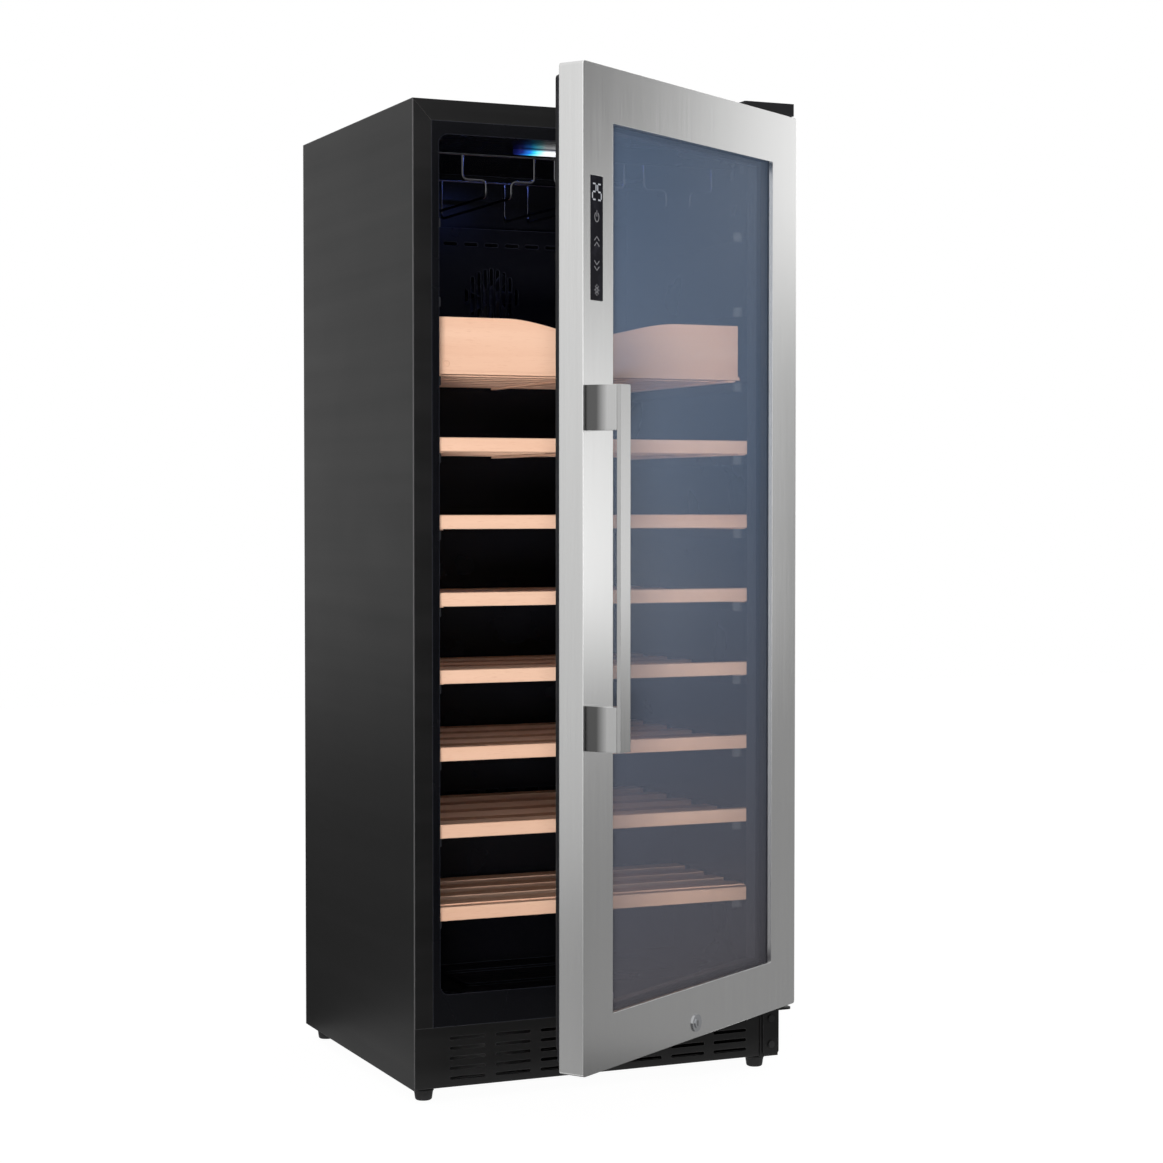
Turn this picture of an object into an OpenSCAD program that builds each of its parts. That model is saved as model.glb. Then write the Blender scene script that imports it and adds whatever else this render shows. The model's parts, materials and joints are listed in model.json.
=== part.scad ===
// Free-standing wine cooler: insulated cabinet with a right-hinged glass door, seven slatted
// beech shelves, a beech glass tray and a wire stemware hanger.
// Millimetres, +Z up, the front faces -Y. The origin is on the floor, at the middle of the
// cabinet's footprint. Inside in_cabinet() the front plane is y = 0 and the underside z = 0.
// Inside in_door() the same coordinates describe the door as if it were shut.

/* [Cabinet] */
// Width over the side panels
cab_w = 595; // [560:1:640]
// Depth from the front plane to the rear panel
cab_d = 518; // [490:1:580]
// Height from the underside to the top panel
cab_h = 1430; // [1410:1:1500]
// Thickness of the painted steel sheets
sheet_t = 1; // [0.6:0.1:1.5]
// Width of the side panels' front flange
flange_w = 29; // [24:1:32]
// Height of the top panel's front flange
top_flange_h = 30; // [24:1:34]
// Width of the open mitre seam between two flanges
mitre_gap = 0.6; // [0.2:0.1:1.5]
// Height of each levelling foot under the cabinet
foot_h = 20; // [16:1:35]
// Distance of a foot's axis from the side of the cabinet
foot_inset_x = 25; // [20:1:45]
// Distance of a foot's axis from the front plane and from the back
foot_inset_y = 30; // [24:1:60]

/* [Insulation and liner] */
// Thickness of the side walls, from panel to cavity
wall_side = 40.5; // [36:0.5:48]
// Thickness of the ceiling
wall_top = 40; // [34:1:48]
// Thickness of the rear wall
wall_back = 50; // [40:1:60]
// Thickness of the moulded liner
liner_t = 2; // [1.5:0.1:3]
// Height of the cavity floor over the underside
floor_z = 125; // [118:1:132]
// Height of the sill, the lower edge of the front opening
sill_z = 137; // [134:1:150]
// Drop of the lintel under the ceiling
lintel_drop = 9; // [4:1:14]
// Radius of the opening's corners
opening_r = 14; // [8:1:24]
// Width of a moulded shelf ledge
ledge_w = 18; // [14:1:19]
// Height of a moulded shelf ledge
ledge_h = 14; // [8:1:16]
// Distance of the ledges' front ends from the front plane
ledge_front = 42; // [36:1:60]

/* [Machine compartment] */
// Height of the machine compartment over the underside
machine_h = 300; // [280:1:305]
// Depth of the machine compartment
machine_d = 200; // [190:1:215]
// Insulation over and before the machine compartment
machine_wall = 35; // [30:1:38]
// Height of the kick plate
kick_h = 90; // [80:1:91]
// Height of the lower hinge plate's top, under the door
hinge_plate_z = 83; // [79:0.5:83.2]

/* [Kick plate] */
// Rows of air slots
slot_rows = 5; // [3:1:5]
// Columns of air slots
slot_cols = 7; // [4:1:7]
// Length of one slot
slot_l = 56; // [30:1:60]
// Width of one slot
slot_w = 5; // [3:0.5:7]
// Distance between slot columns
slot_pitch_x = 71.5; // [66:0.5:72]
// Distance between slot rows
slot_pitch_z = 14.6; // [12:0.1:15]
// Width left free at the right end for the hinge bracket
kick_end = 33; // [30:1:38]

/* [Door] */
// Angle at which the door stands open
door_angle = 33.27; // [20:0.01:110]
// Height of the door's lower edge over the cabinet's underside
door_z = 86.6; // [86:0.1:88]
// How far the door's top stands over the cabinet's top
door_rise = 2.6; // [0:0.1:3]
// Thickness of the door's steel frame
door_t = 38; // [32:1:44]
// Gap between the front plane and the door, filled by the gasket
door_gap = 7.5; // [6:0.1:9]
// Width of the steel frame round the window
frame_w = 74; // [66:1:90]
// Radius of the door's corners
door_r = 4.5; // [3:0.5:8]
// Thickness of the door's steel skin
skin_t = 1.2; // [0.8:0.1:1.6]
// Depth of the glass behind the frame's face
glass_inset = 6.5; // [4:0.5:9]
// Thickness of one glass pane
pane_t = 4; // [3:0.5:5]
// Gap between the two panes
pane_gap = 11; // [8:0.5:12]
// Overlap of the panes behind the frame
pane_lap = 12; // [8:1:16]
// Distance of the hinge axis from the cabinet's side
hinge_inset = 13.4; // [12:0.1:16]
// Distance of the hinge axis from the front plane
hinge_out = 23.9; // [20:0.1:27]
// Distance of the gasket from the door's upper edge and hinge edge
gasket_inset = 15; // [14:1:18]
// Distance of the gasket from the door's free edge
gasket_free = 1.5; // [1.2:0.1:10]
// Width of the gasket
gasket_w = 18; // [14:1:22]

/* [Handle] */
// Length of the handle bar
bar_l = 485; // [300:1:700]
// Width of the handle bar
bar_w = 26; // [18:1:34]
// Thickness of the handle bar
bar_t = 6; // [4:0.5:10]
// Distance of the bar's upper end under the door's top
bar_drop = 426.1; // [250:0.1:600]
// Free depth between the bar and the door
bar_off = 48.5; // [35:0.5:60]
// Height of one handle post
post_h = 60; // [30:1:80]
// Distance of the handle from the door's free edge
bar_inset = 5.8; // [3:0.1:12]

/* [Controls and lock] */
// Width of the touch panel
panel_w = 30; // [24:1:40]
// Height of the touch panel
panel_h = 165; // [120:1:200]
// Distance of the touch panel's upper edge under the door's top
panel_drop = 148.1; // [110:0.1:200]
// Distance of the touch panel from the door's free edge
panel_inset = 18; // [14:1:24]
// Height of the lock over the underside
lock_z = 108; // [106:0.5:109]
// Radius of the lock's bezel
lock_r = 12.5; // [10:0.5:14]
// Radius of the turning lock barrel
barrel_r = 7; // [5:0.5:8]

/* [Shelves] */
// Number of bottle shelves
shelf_n = 6; // [4:1:6]
// Free height between the highest shelf and the glass tray
tray_gap = 92.8; // [88:0.1:100]
// Height of the lowest full shelf's upper edge over the machine compartment's step
step_gap = 48.2; // [40:0.1:56]
// Height of the display shelf's upper edge over the underside
display_z = 262.5; // [250:0.5:266]
// Height of a shelf's front board
board_h = 20.5; // [16:0.5:24]
// Thickness of a shelf's front board
board_t = 16; // [12:0.5:20]
// Distance of the shelf fronts from the front plane
shelf_front = 12; // [8:0.5:20]
// Play between a shelf and the side wall
shelf_play = 4; // [2:0.5:6]
// Thickness of a slat
slat_t = 10; // [8:0.5:12]
// Width of a slat
slat_w = 34; // [24:1:44]
// Slats in a full shelf
slat_n = 5; // [4:1:7]
// Free depth between a full shelf and the air duct
deck_gap = 14; // [8:1:30]
// Slats in the display shelf
display_slat_n = 4; // [2:1:5]
// Free depth between the display shelf and the machine compartment's step
display_gap = 15; // [10:1:40]

/* [Glass tray and hanger] */
// Distance of the tray's lower edge under the ceiling
tray_drop = 351; // [345:0.5:354]
// Height of the tray's front board
tray_h = 83; // [60:1:95]
// Distance of the tray's front from the front plane
tray_front = 35; // [30:0.5:40]
// Play between the tray and the side wall
tray_play = 13; // [10:0.5:16]
// Depth of the dip in the tray's front board
dip_h = 20.5; // [10:0.5:30]
// Half length of the dip
dip_l = 138; // [100:1:180]
// Diameter of the hanger's wire
wire_d = 4; // [3:0.5:5]
// Number of glass channels
channel_n = 3; // [2:1:3]
// Distance between glass channels
channel_pitch = 147; // [140:1:150]
// Width of one glass channel
channel_w = 114; // [100:1:120]
// Height of one glass channel
channel_h = 37; // [28:1:42]
// Width of the slot for the stems
stem_slot = 40; // [30:1:46]
// Drop of the stem guides under the channel
lip_h = 24; // [12:1:30]
// Distance of the hanger's crossbars under the ceiling
hanger_drop = 29; // [20:1:40]
// Inner radius of the wire's bends
wire_bend = 6; // [4:0.5:8]
// Distance of the hanger's front from the front plane
hanger_front = 45; // [40:1:60]
// Depth of the hanger
hanger_d = 290; // [200:1:300]

/* [Fits] */
// Radial clearance of a turning or sliding pin
run_fit = 0.06; // [0.02:0.01:0.1]
// Clearance between pieces that are screwed or pushed together
seat_fit = 0.1; // [0.05:0.05:0.3]
// Radius of the hinge pins
pin_r = 4; // [3:0.5:5]
// Radius of a foot's screw
foot_stem_r = 5; // [4:0.5:6]
// Radius of a fan motor's shaft
shaft_r = 2; // [1.5:0.5:3]

/* [Cooling parts] */
// Radius of the compressor's shell
compressor_r = 66; // [55:1:72]
// Height of the compressor's shell over its feet
compressor_h = 150; // [120:1:160]
// Distance of the compressor's axis from the cabinet's side
compressor_inset = 127.5; // [112:0.5:150]
// Height of the rubber mounts
mount_h = 14; // [10:1:20]
// Side of the square condenser and its shroud
condenser_side = 170; // [140:5:190]
// Thickness of the condenser's fin block
condenser_t = 56; // [40:2:70]
// Fins in the condenser
fin_n = 12; // [6:1:16]
// Radius of the condenser fan
fan_r = 62; // [50:1:66]
// Width of the cold air duct's panel
duct_w = 400; // [340:10:430]
// Depth of the cold air duct
duct_d = 26; // [22:1:28]
// Radius of the duct fan
duct_fan_r = 44; // [36:1:50]
// Distance of the duct fan's axis under the ceiling
duct_fan_drop = 200; // [160:5:280]
// Length of the lamp's lens
lamp_l = 150; // [80:5:240]
// Width of the lamp's lens
lamp_w = 25; // [16:1:34]
// Distance of the lamp from the front plane
lamp_y = 162; // [130:1:220]

/* [Hidden] */
$fn = 48;
e = 0.01;
half_w = cab_w / 2;
inner_x = half_w - sheet_t;
inner_y = cab_d - sheet_t;
cavity_x = half_w - wall_side;
cavity_y = cab_d - wall_back;
ceiling_z = cab_h - wall_top;
lintel_z = ceiling_z - lintel_drop;
flange_x = half_w - flange_w;
flange_top_z = cab_h - top_flange_h;
deck_top = kick_h + sheet_t;
machine_y = cab_d - machine_d;
hump_y = machine_y - machine_wall;
hump_z = machine_h + machine_wall;
black = "#1b1b1d";
soft_black = "#101011";
steel = "#b8b8b6";
zinc = "#8d9094";
beech = "#d8b18b";
clear_tint = [0.55, 0.62, 0.70, 0.45];

// Feet and base
pan_t = 1.5;
pan_front = 6;
pan_flange_h = 12;
boss_r = 10;
boss_h = 16;
foot_x = half_w - foot_inset_x;
pad_r = 15;
pad_low_r = 12.5;
pad_edge_r = 3;
pad_top = 4;
post_t = 3;
post_x = half_w - kick_end + 2;
kick_t = 1.2;
kick_gap = 2;
kick_return = 12;
slot_mid_z = 43.4;

// Hinges
hinge_x = half_w - hinge_inset;
hinge_y = -hinge_out;
hinge_t = 3;
hinge_front = -46;
leg_w = 27;
leg_x = half_w - leg_w;
leg_z = 2;
leg_screw_x = half_w - leg_w / 2;
leg_screw_low = 18.6;
leg_screw_pitch = 40.3;
leg_screws = [leg_screw_low, leg_screw_low + leg_screw_pitch];
screw_r = 3;
screw_head_r = 5.5;
screw_head_t = 2.5;
upper_hinge_z = cab_h + 4;
plate_x0 = half_w - 75;
plate_x1 = half_w - 5;
plate_back = 46;
plate_screw_x = half_w - 42;
plate_screw_pitch = 22;
plate_screws = [for (i = [-1:1]) plate_screw_x + i * plate_screw_pitch];
plate_screw_y = 30;
cover_x0 = half_w - 84;
cover_back = 56;
cover_h = 22;
cover_t = 2;
pin_in = 12;
bush_r = pin_r + 2.5;
bush_l = 14;
bush_room = 2;

// Door
door_top = cab_h + door_rise;
door_face = -door_gap - door_t;
door_back = -door_gap;
door_x = half_w;
window_x = half_w - frame_w;
window_z0 = door_z + frame_w;
window_z1 = door_top - frame_w;
glass_face = door_face + glass_inset;
glass_back = glass_face + 2 * pane_t + pane_gap;
pane_x = window_x + pane_lap;
pane_play = 0.5;
spacer_w = 8;
pad_t = 3;
gasket_gap = 0.3;
gasket_low = lock_z + 10;
bar_x = -half_w + bar_inset;
bar_z = door_top - bar_drop - bar_l;
post_r = 1.5;
bar_back = door_face - bar_off;
post_inset = 1;
bolt_r = 2.5;
bolt_head_r = 4.5;
bolt_head_t = 3;
bolt_in = 14;
bolt_spread = 30;
bolt_room = 6;
panel_x = -half_w + panel_inset;
panel_z = door_top - panel_drop - panel_h;
panel_t = 2;
pcb_t = 1.6;
pcb_in_x = 2;
pcb_in_z = 4;

// Lock
housing_r = 9;
keyway_w = 2;
keyway_h = 8;
keyway_d = 3;
barrel_out = 3;
bezel_t = 2;
cam_w = 8;
cam_l = 16;
cam_t = 2.5;
cam_y = 3;
cam_rod_r = 4;
strike_t = 1.5;
strike_h = 26;
strike_side = 12;
slot_play = 3;
pocket_d = 16;

// Cold air duct
duct_front = cavity_y - duct_d;
duct_t = 2;
duct_top_gap = 90;
duct_z0 = hump_z + 1;
duct_z1 = ceiling_z - duct_top_gap;
duct_fan_z = ceiling_z - duct_fan_drop;
duct_motor_h = 9;
coil_rise = 185;
coil_gap = 150;
coil_low = hump_z + coil_rise;
coil_high = duct_fan_z - coil_gap;

// Shelves
tray_z = ceiling_z - tray_drop;
shelf_high_z = tray_z - tray_gap;
shelf_low_z = hump_z + step_gap;
shelf_pitch = (shelf_high_z - shelf_low_z) / (shelf_n - 1);
shelf_half = cavity_x - shelf_play;
board_back = shelf_front + board_t;
deck_d = duct_front - deck_gap - board_back;
display_d = hump_y - display_gap - board_back;
slat_drop = 9;
display_rise = 2;
runner_w = 12;
runner_gap = 0.3;
ledge_drop = 2;
ledge_edge = 2;
tray_board_t = 15;
tray_half = cavity_x - tray_play;
tray_lip = 3;
tray_base_t = 5;
tray_gap_back = 12;
tray_back = duct_front - tray_gap_back;
tray_slat_n = 7;
tray_slat_t = 8;
ledge_drop_1 = 239;
ledge_drop_2 = 124;
spare_ledges = [ceiling_z - ledge_drop_1, ceiling_z - ledge_drop_2];
ledge_gap = 6;
ledge_back = duct_front - ledge_gap;
SHELF_TOPS = [for (i = [0:shelf_n - 1]) shelf_high_z - i * shelf_pitch];
LEDGE_TOPS = concat([for (z = SHELF_TOPS) z - board_h - ledge_drop], [tray_z - tray_lip], spare_ledges);
display_ledge = display_z - board_h - ledge_drop;

// Cooling parts
compressor_x = compressor_inset - half_w;
compressor_y = machine_y + machine_d / 2 - 2;
condenser_inset = 205.5;
machine_gap = 16;
shroud_gap = 32;
mount_x = compressor_r + 6;
mount_y = 42;
mount_r = 11;
condenser_x = half_w - condenser_inset;
condenser_y = machine_y + machine_gap;
condenser_z = 20;
shroud_x = condenser_x - shroud_gap;
shroud_t = 3;
fan_gap = 4;
fan_mount_h = 24;
fan_h = 18;
fan_z = condenser_z + condenser_side / 2;
tube_r = 4;
motor_r = 20;
drain_y = cavity_y - 20;
drain_r = 5;
drain_wall = 1.5;
drain_low = 198;
tray_floor_z = pan_t + mount_h + compressor_h + 1;
gland_inset = 67.5;
gland_x = half_w - gland_inset;
gland_z = 60;
gland_r = 11;
gland_neck = 9;
gland_bore = 3.6;
lamp_t = 6;

// Stemware hanger
wire_r = wire_d / 2;
bend_r = wire_bend + wire_r;
hanger_z = ceiling_z - hanger_drop;
weld_gap = 0.02;
clip_w = 10;
clip_half_w = 7;
clip_half_h = 8;
clip_depth = 8.5;

// Places

module in_cabinet() {
    translate([0, -cab_d / 2, foot_h]) children();
}

module in_door() {
    in_cabinet()
        translate([hinge_x, hinge_y, 0]) rotate([0, 0, door_angle]) translate([-hinge_x, -hinge_y, 0])
            children();
}

module on_both_sides() {
    children();
    mirror([1, 0, 0]) children();
}

// Basic shapes

module block(lo, hi) {
    translate(lo) cube(hi - lo);
}

module round_rect(x0, x1, y0, y1, r) {
    if (r > 0) {
        translate([x0 + r, y0]) square([x1 - x0 - 2 * r, y1 - y0]);
        translate([x0, y0 + r]) square([x1 - x0, y1 - y0 - 2 * r]);
        for (x = [x0 + r, x1 - r], y = [y0 + r, y1 - r]) translate([x, y]) circle(r);
    } else {
        translate([x0, y0]) square([x1 - x0, y1 - y0]);
    }
}

// A slot with round ends across its shorter side
module slot_shape(x0, x1, y0, y1) {
    r = min(x1 - x0, y1 - y0) / 2;
    along_x = x1 - x0 > y1 - y0;
    for (c = [[x0 + r, y0 + r], [x1 - r, y1 - r]]) translate(c) circle(r);
    translate(along_x ? [x0 + r, y0] : [x0, y0 + r])
        square(along_x ? [x1 - x0 - 2 * r, 2 * r] : [2 * r, y1 - y0 - 2 * r]);
}

// An outline in X and Z, drawn out from y0 to y1
module front_shape(y0, y1) {
    translate([0, y1, 0]) rotate([90, 0, 0]) linear_extrude(y1 - y0) children();
}

module front_plate(x0, x1, z0, z1, y0, y1, r = 0) {
    front_shape(y0, y1) round_rect(x0, x1, z0, z1, r);
}

module front_slot(x, z, w, h, y0, y1) {
    front_shape(y0, y1) slot_shape(x - w / 2, x + w / 2, z - h / 2, z + h / 2);
}

// An outline in X and Y, drawn up from z0 to z1
module plan_plate(x0, x1, y0, y1, z0, z1, r = 0) {
    translate([0, 0, z0]) linear_extrude(z1 - z0) round_rect(x0, x1, y0, y1, r);
}

// A bar along X with rounded long edges
module beam_x(x0, x1, y0, y1, z0, z1, r = 0) {
    translate([x0, 0, 0]) rotate([90, 0, 90]) linear_extrude(x1 - x0) round_rect(y0, y1, z0, z1, r);
}

module rod_x(x0, x1, y, z, r) {
    translate([x0, y, z]) rotate([0, 90, 0]) cylinder(r = r, h = x1 - x0);
}

module rod_y(x, y0, y1, z, r) {
    translate([x, y1, z]) rotate([90, 0, 0]) cylinder(r = r, h = y1 - y0);
}

module rod_z(x, y, z0, z1, r) {
    translate([x, y, z0]) cylinder(r = r, h = z1 - z0);
}

// Outer shell

module side_panel() {
    color(black) in_cabinet() {
        block([inner_x, 0, 0], [half_w, cab_d, cab_h]);
        front_shape(0, sheet_t)
            polygon([[flange_x, kick_h], [half_w, kick_h], [half_w, cab_h - mitre_gap],
                [flange_x, flange_top_z - mitre_gap]]);
    }
}

module side_panel_left() {
    mirror([1, 0, 0]) side_panel();
}

module side_panel_right() {
    side_panel();
}

module top_panel() {
    corner_z = flange_top_z + (inner_x - flange_x) * top_flange_h / flange_w;
    color(black) in_cabinet() difference() {
        union() {
            block([-inner_x, 0, cab_h - sheet_t], [inner_x, cab_d, cab_h]);
            front_shape(0, sheet_t)
                polygon([[-flange_x, flange_top_z], [flange_x, flange_top_z], [inner_x, corner_z],
                    [inner_x, cab_h], [-inner_x, cab_h], [-inner_x, corner_z]]);
        }
        for (x = plate_screws) rod_z(x, plate_screw_y, cab_h - 2 * sheet_t, cab_h + e, screw_r + seat_fit);
    }
}

module rear_panel() {
    bead_w = 10;
    bead_h = 1.5;
    bead_end = 60;
    color(black) in_cabinet() {
        block([-inner_x, inner_y, machine_h], [inner_x, cab_d, cab_h - sheet_t]);
        for (x = [-inner_x / 2, 0, inner_x / 2])
            front_slot(x, (machine_h + cab_h) / 2, bead_w, cab_h - machine_h - 2 * bead_end,
                cab_d - e, cab_d + bead_h);
    }
}

module base_pan() {
    color(black) in_cabinet() difference() {
        union() {
            block([-inner_x, pan_front, 0], [inner_x, inner_y, pan_t]);
            block([-inner_x, pan_front, 0], [post_x - kick_gap, pan_front + pan_t, pan_flange_h]);
            block([post_x, 0, 0], [inner_x, pan_front + pan_t, pan_t]);
            block([post_x, 0, 0], [inner_x, post_t, kick_h]);
            for (f = [-1, 1], y = [foot_inset_y, cab_d - foot_inset_y])
                rod_z(f * foot_x, y, 0, boss_h, boss_r);
        }
        for (f = [-1, 1], y = [foot_inset_y, cab_d - foot_inset_y])
            rod_z(f * foot_x, y, -1, boss_h + 1, foot_stem_r + run_fit);
        for (z = leg_screws) rod_y(leg_screw_x, -1, post_t + 1, z, screw_r + seat_fit);
    }
}

// The folded sheet under the insulation: floor, riser and roof of the machine compartment
module machine_deck() {
    color(zinc) in_cabinet() difference() {
        union() {
            block([-inner_x, liner_t, kick_h], [inner_x, machine_y, deck_top]);
            block([-inner_x, machine_y - sheet_t, kick_h], [inner_x, machine_y, machine_h]);
            block([-inner_x, machine_y - sheet_t, machine_h - sheet_t], [inner_x, inner_y, machine_h]);
        }
        rod_z(compressor_x, drain_y, machine_h - 2 * sheet_t, machine_h + 1, drain_r + seat_fit);
    }
}

// The cavity grown by g, from y0 back, less the step over the machine compartment
module cavity(g, y0) {
    difference() {
        block([-cavity_x - g, y0, floor_z - g], [cavity_x + g, cavity_y + g, ceiling_z + g]);
        block([-cab_w, hump_y + g, 0], [cab_w, cab_d, hump_z - g]);
    }
}

module strike_pocket(y0, y1) {
    block([-cam_l - slot_play - strike_side, y0, lock_z - strike_h / 2],
        [cam_w / 2 + slot_play + strike_side, y1, lock_z + strike_h / 2 - 1]);
}

module insulation() {
    color("#e8dcae") in_cabinet() difference() {
        block([-inner_x, liner_t, deck_top], [inner_x, inner_y, cab_h - sheet_t]);
        block([-cab_w, machine_y - sheet_t, 0], [cab_w, cab_d, machine_h]);
        cavity(liner_t, 0);
        strike_pocket(0, pocket_d);
        rod_z(compressor_x, drain_y, machine_h - 1, hump_z, drain_r + seat_fit);
    }
}

module ledge(top, back) {
    on_both_sides()
        front_plate(cavity_x - ledge_w, cavity_x + liner_t, top - ledge_h, top, ledge_front, back,
            ledge_edge);
}

module inner_liner() {
    rim = 4;
    rim_x = 176;
    rim_y0 = 105;
    rim_y1 = 214;
    rim_h = 4;
    color(soft_black) in_cabinet() difference() {
        union() {
            difference() {
                union() {
                    cavity(liner_t, liner_t / 2);
                    front_plate(-flange_x, flange_x, kick_h, flange_top_z, 0, liner_t);
                }
                cavity(0, liner_t);
                front_plate(-cavity_x, cavity_x, sill_z, lintel_z, -1, liner_t + 1, opening_r);
            }
            for (z = LEDGE_TOPS) ledge(z, ledge_back);
            ledge(display_ledge, hump_y);
            difference() {
                plan_plate(-rim_x, rim_x, rim_y0, rim_y1, floor_z - liner_t / 2, floor_z + rim_h, 12);
                plan_plate(-rim_x + rim, rim_x - rim, rim_y0 + rim, rim_y1 - rim, floor_z,
                    floor_z + 2 * rim_h, 9);
            }
        }
        strike_pocket(-1, liner_t + 1);
        rod_z(compressor_x, drain_y, hump_z - 2 * liner_t, hump_z + 1, drain_r + seat_fit);
    }
}

module kick_plate() {
    x0 = -inner_x;
    x1 = half_w - kick_end;
    color(black) in_cabinet() difference() {
        union() {
            block([x0, 0, kick_gap], [x1, kick_t, kick_h]);
            block([x0, 0, kick_h - kick_t], [x1, kick_return, kick_h]);
        }
        for (i = [0:slot_cols - 1], j = [0:slot_rows - 1]) {
            x = (i - (slot_cols - 1) / 2) * slot_pitch_x;
            z = slot_mid_z + (j - (slot_rows - 1) / 2) * slot_pitch_z;
            front_slot(x, z, slot_l, slot_w, -1, kick_t + 1);
        }
    }
}

module strike_plate() {
    color(zinc) in_cabinet() difference() {
        strike_pocket(0, strike_t);
        front_plate(-cam_l - slot_play, cam_w / 2 + slot_play, lock_z - cam_w / 2 - 1,
            lock_z + cam_w / 2 + 1, -1, strike_t + 1, 2);
    }
}

// Hinges

module lower_hinge_bracket() {
    arm_x = half_w - 46;
    arm_r = 8;
    leg_r = 7;
    low = hinge_plate_z - hinge_t;
    color(black) in_cabinet() difference() {
        union() {
            front_plate(leg_x, half_w, leg_z, hinge_plate_z, -hinge_t, 0, leg_r);
            block([leg_x, -hinge_t, hinge_plate_z - leg_r - 1], [half_w, 0, hinge_plate_z]);
            plan_plate(arm_x, half_w, hinge_front, 0, low, hinge_plate_z, arm_r);
            block([arm_x, -arm_r - 1, low], [half_w, 0, hinge_plate_z]);
        }
        rod_z(hinge_x, hinge_y, hinge_plate_z - 5, hinge_plate_z + 1, pin_r);
        for (z = leg_screws) rod_y(leg_screw_x, -hinge_t - 1, 1, z, screw_r + seat_fit);
    }
}

module upper_hinge_bracket() {
    arm_x = half_w - 40;
    riser_t = 5;
    color(zinc) in_cabinet() difference() {
        union() {
            plan_plate(plate_x0, plate_x1, 0, plate_back, cab_h, cab_h + hinge_t, 4);
            block([arm_x, 0, cab_h], [plate_x1, riser_t, upper_hinge_z + hinge_t]);
            plan_plate(arm_x, plate_x1, hinge_front + 4, riser_t, upper_hinge_z,
                upper_hinge_z + hinge_t, 4);
        }
        rod_z(hinge_x, hinge_y, upper_hinge_z - 1, upper_hinge_z + hinge_t + 1, pin_r);
        for (x = plate_screws) rod_z(x, plate_screw_y, cab_h - 1, cab_h + hinge_t + 1, screw_r + seat_fit);
    }
}

module hinge_pins() {
    color(steel) in_cabinet() {
        rod_z(hinge_x, hinge_y, hinge_plate_z - hinge_t, door_z + pin_in, pin_r);
        rod_z(hinge_x, hinge_y, door_top - pin_in, upper_hinge_z + hinge_t, pin_r);
    }
}

module hinge_cover() {
    color(black) in_cabinet() difference() {
        union() {
            plan_plate(cover_x0, half_w, hinge_front, cover_back, upper_hinge_z, cab_h + cover_h, 3);
            plan_plate(cover_x0, half_w, 0, cover_back, cab_h, cab_h + cover_h, 3);
        }
        plan_plate(cover_x0 + cover_t, half_w - cover_t, hinge_front + cover_t, cover_back - cover_t,
            cab_h - 1, cab_h + cover_h - cover_t, 2);
    }
}

module screw(head_r, head_t, shank) {
    cylinder(r = head_r, h = head_t);
    translate([0, 0, -shank]) cylinder(r = screw_r, h = shank);
}

module hinge_screws() {
    color(zinc) in_cabinet() {
        for (z = leg_screws)
            translate([leg_screw_x, -hinge_t, z]) rotate([90, 0, 0])
                screw(screw_head_r, screw_head_t, hinge_t + post_t);
        for (x = plate_screws)
            translate([x, plate_screw_y, cab_h + hinge_t])
                screw(screw_head_r, screw_head_t, hinge_t + sheet_t);
    }
}

// Feet

// A screw in the base's boss over a cup that narrows to a rounded lower edge
module foot(side, end) {
    y = end < 0 ? foot_inset_y : cab_d - foot_inset_y;
    edge = [for (a = [-90:22.5:0])
        [pad_low_r - pad_edge_r * (1 - cos(a)), pad_edge_r * (1 + sin(a)) - foot_h]];
    color(soft_black) in_cabinet() translate([side * foot_x, y, 0]) {
        rotate_extrude()
            polygon(concat([[0, -foot_h]], edge, [[pad_r - 1, -pad_top - 3], [pad_r, -pad_top - 2],
                [pad_r, -pad_top], [foot_stem_r + 3, 0.5 - pad_top], [foot_stem_r + 3, -0.5],
                [foot_stem_r, -0.5], [foot_stem_r, boss_h - 2], [0, boss_h - 2]]));
    }
}

module foot_front_left() { foot(-1, -1); }
module foot_front_right() { foot(1, -1); }
module foot_rear_left() { foot(-1, 1); }
module foot_rear_right() { foot(1, 1); }

// Cooling parts

module compressor() {
    dome = 34;
    seam_z = 64;
    seam_h = 8;
    seam_out = 5;
    shell_r = compressor_r - 2;
    plate_t = 3;
    box_z = 34;
    box_w = 44;
    box_h = 54;
    stub_z = 96;
    stub_out = 18;
    stub_rise = 14;
    box_out = 18;
    foot_half = 14;
    cross_half = 20;
    stub_x = -compressor_r - stub_out;
    color(black) in_cabinet() translate([compressor_x, compressor_y, pan_t + mount_h]) {
        rotate_extrude()
            polygon(concat([[0, 0], [shell_r - 12, 0], [shell_r, 14], [shell_r, seam_z - 2],
                [shell_r + seam_out, seam_z], [shell_r + seam_out, seam_z + seam_h],
                [shell_r, seam_z + seam_h + 2]],
                [for (a = [0:15:90]) [shell_r * cos(a), compressor_h - dome + dome * sin(a)]]));
        for (s = [-1, 1])
            block([s * mount_x - foot_half, -mount_y - foot_half, 0],
                [s * mount_x + foot_half, mount_y + foot_half, plate_t]);
        block([-mount_x, -cross_half, 0], [mount_x, cross_half, plate_t]);
        block([compressor_r - 8, -box_w / 2, box_z], [compressor_r + box_out, box_w / 2, box_z + box_h]);
        rod_x(stub_x - tube_r, -compressor_r + 10, 0, stub_z, tube_r);
        rod_z(stub_x, 0, stub_z, compressor_h + stub_rise, tube_r);
    }
}

module compressor_mounts() {
    color(soft_black) in_cabinet()
        for (s = [-1, 1], t = [-1, 1])
            rod_z(compressor_x + s * mount_x, compressor_y + t * mount_y, pan_t, pan_t + mount_h, mount_r);
}

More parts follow.
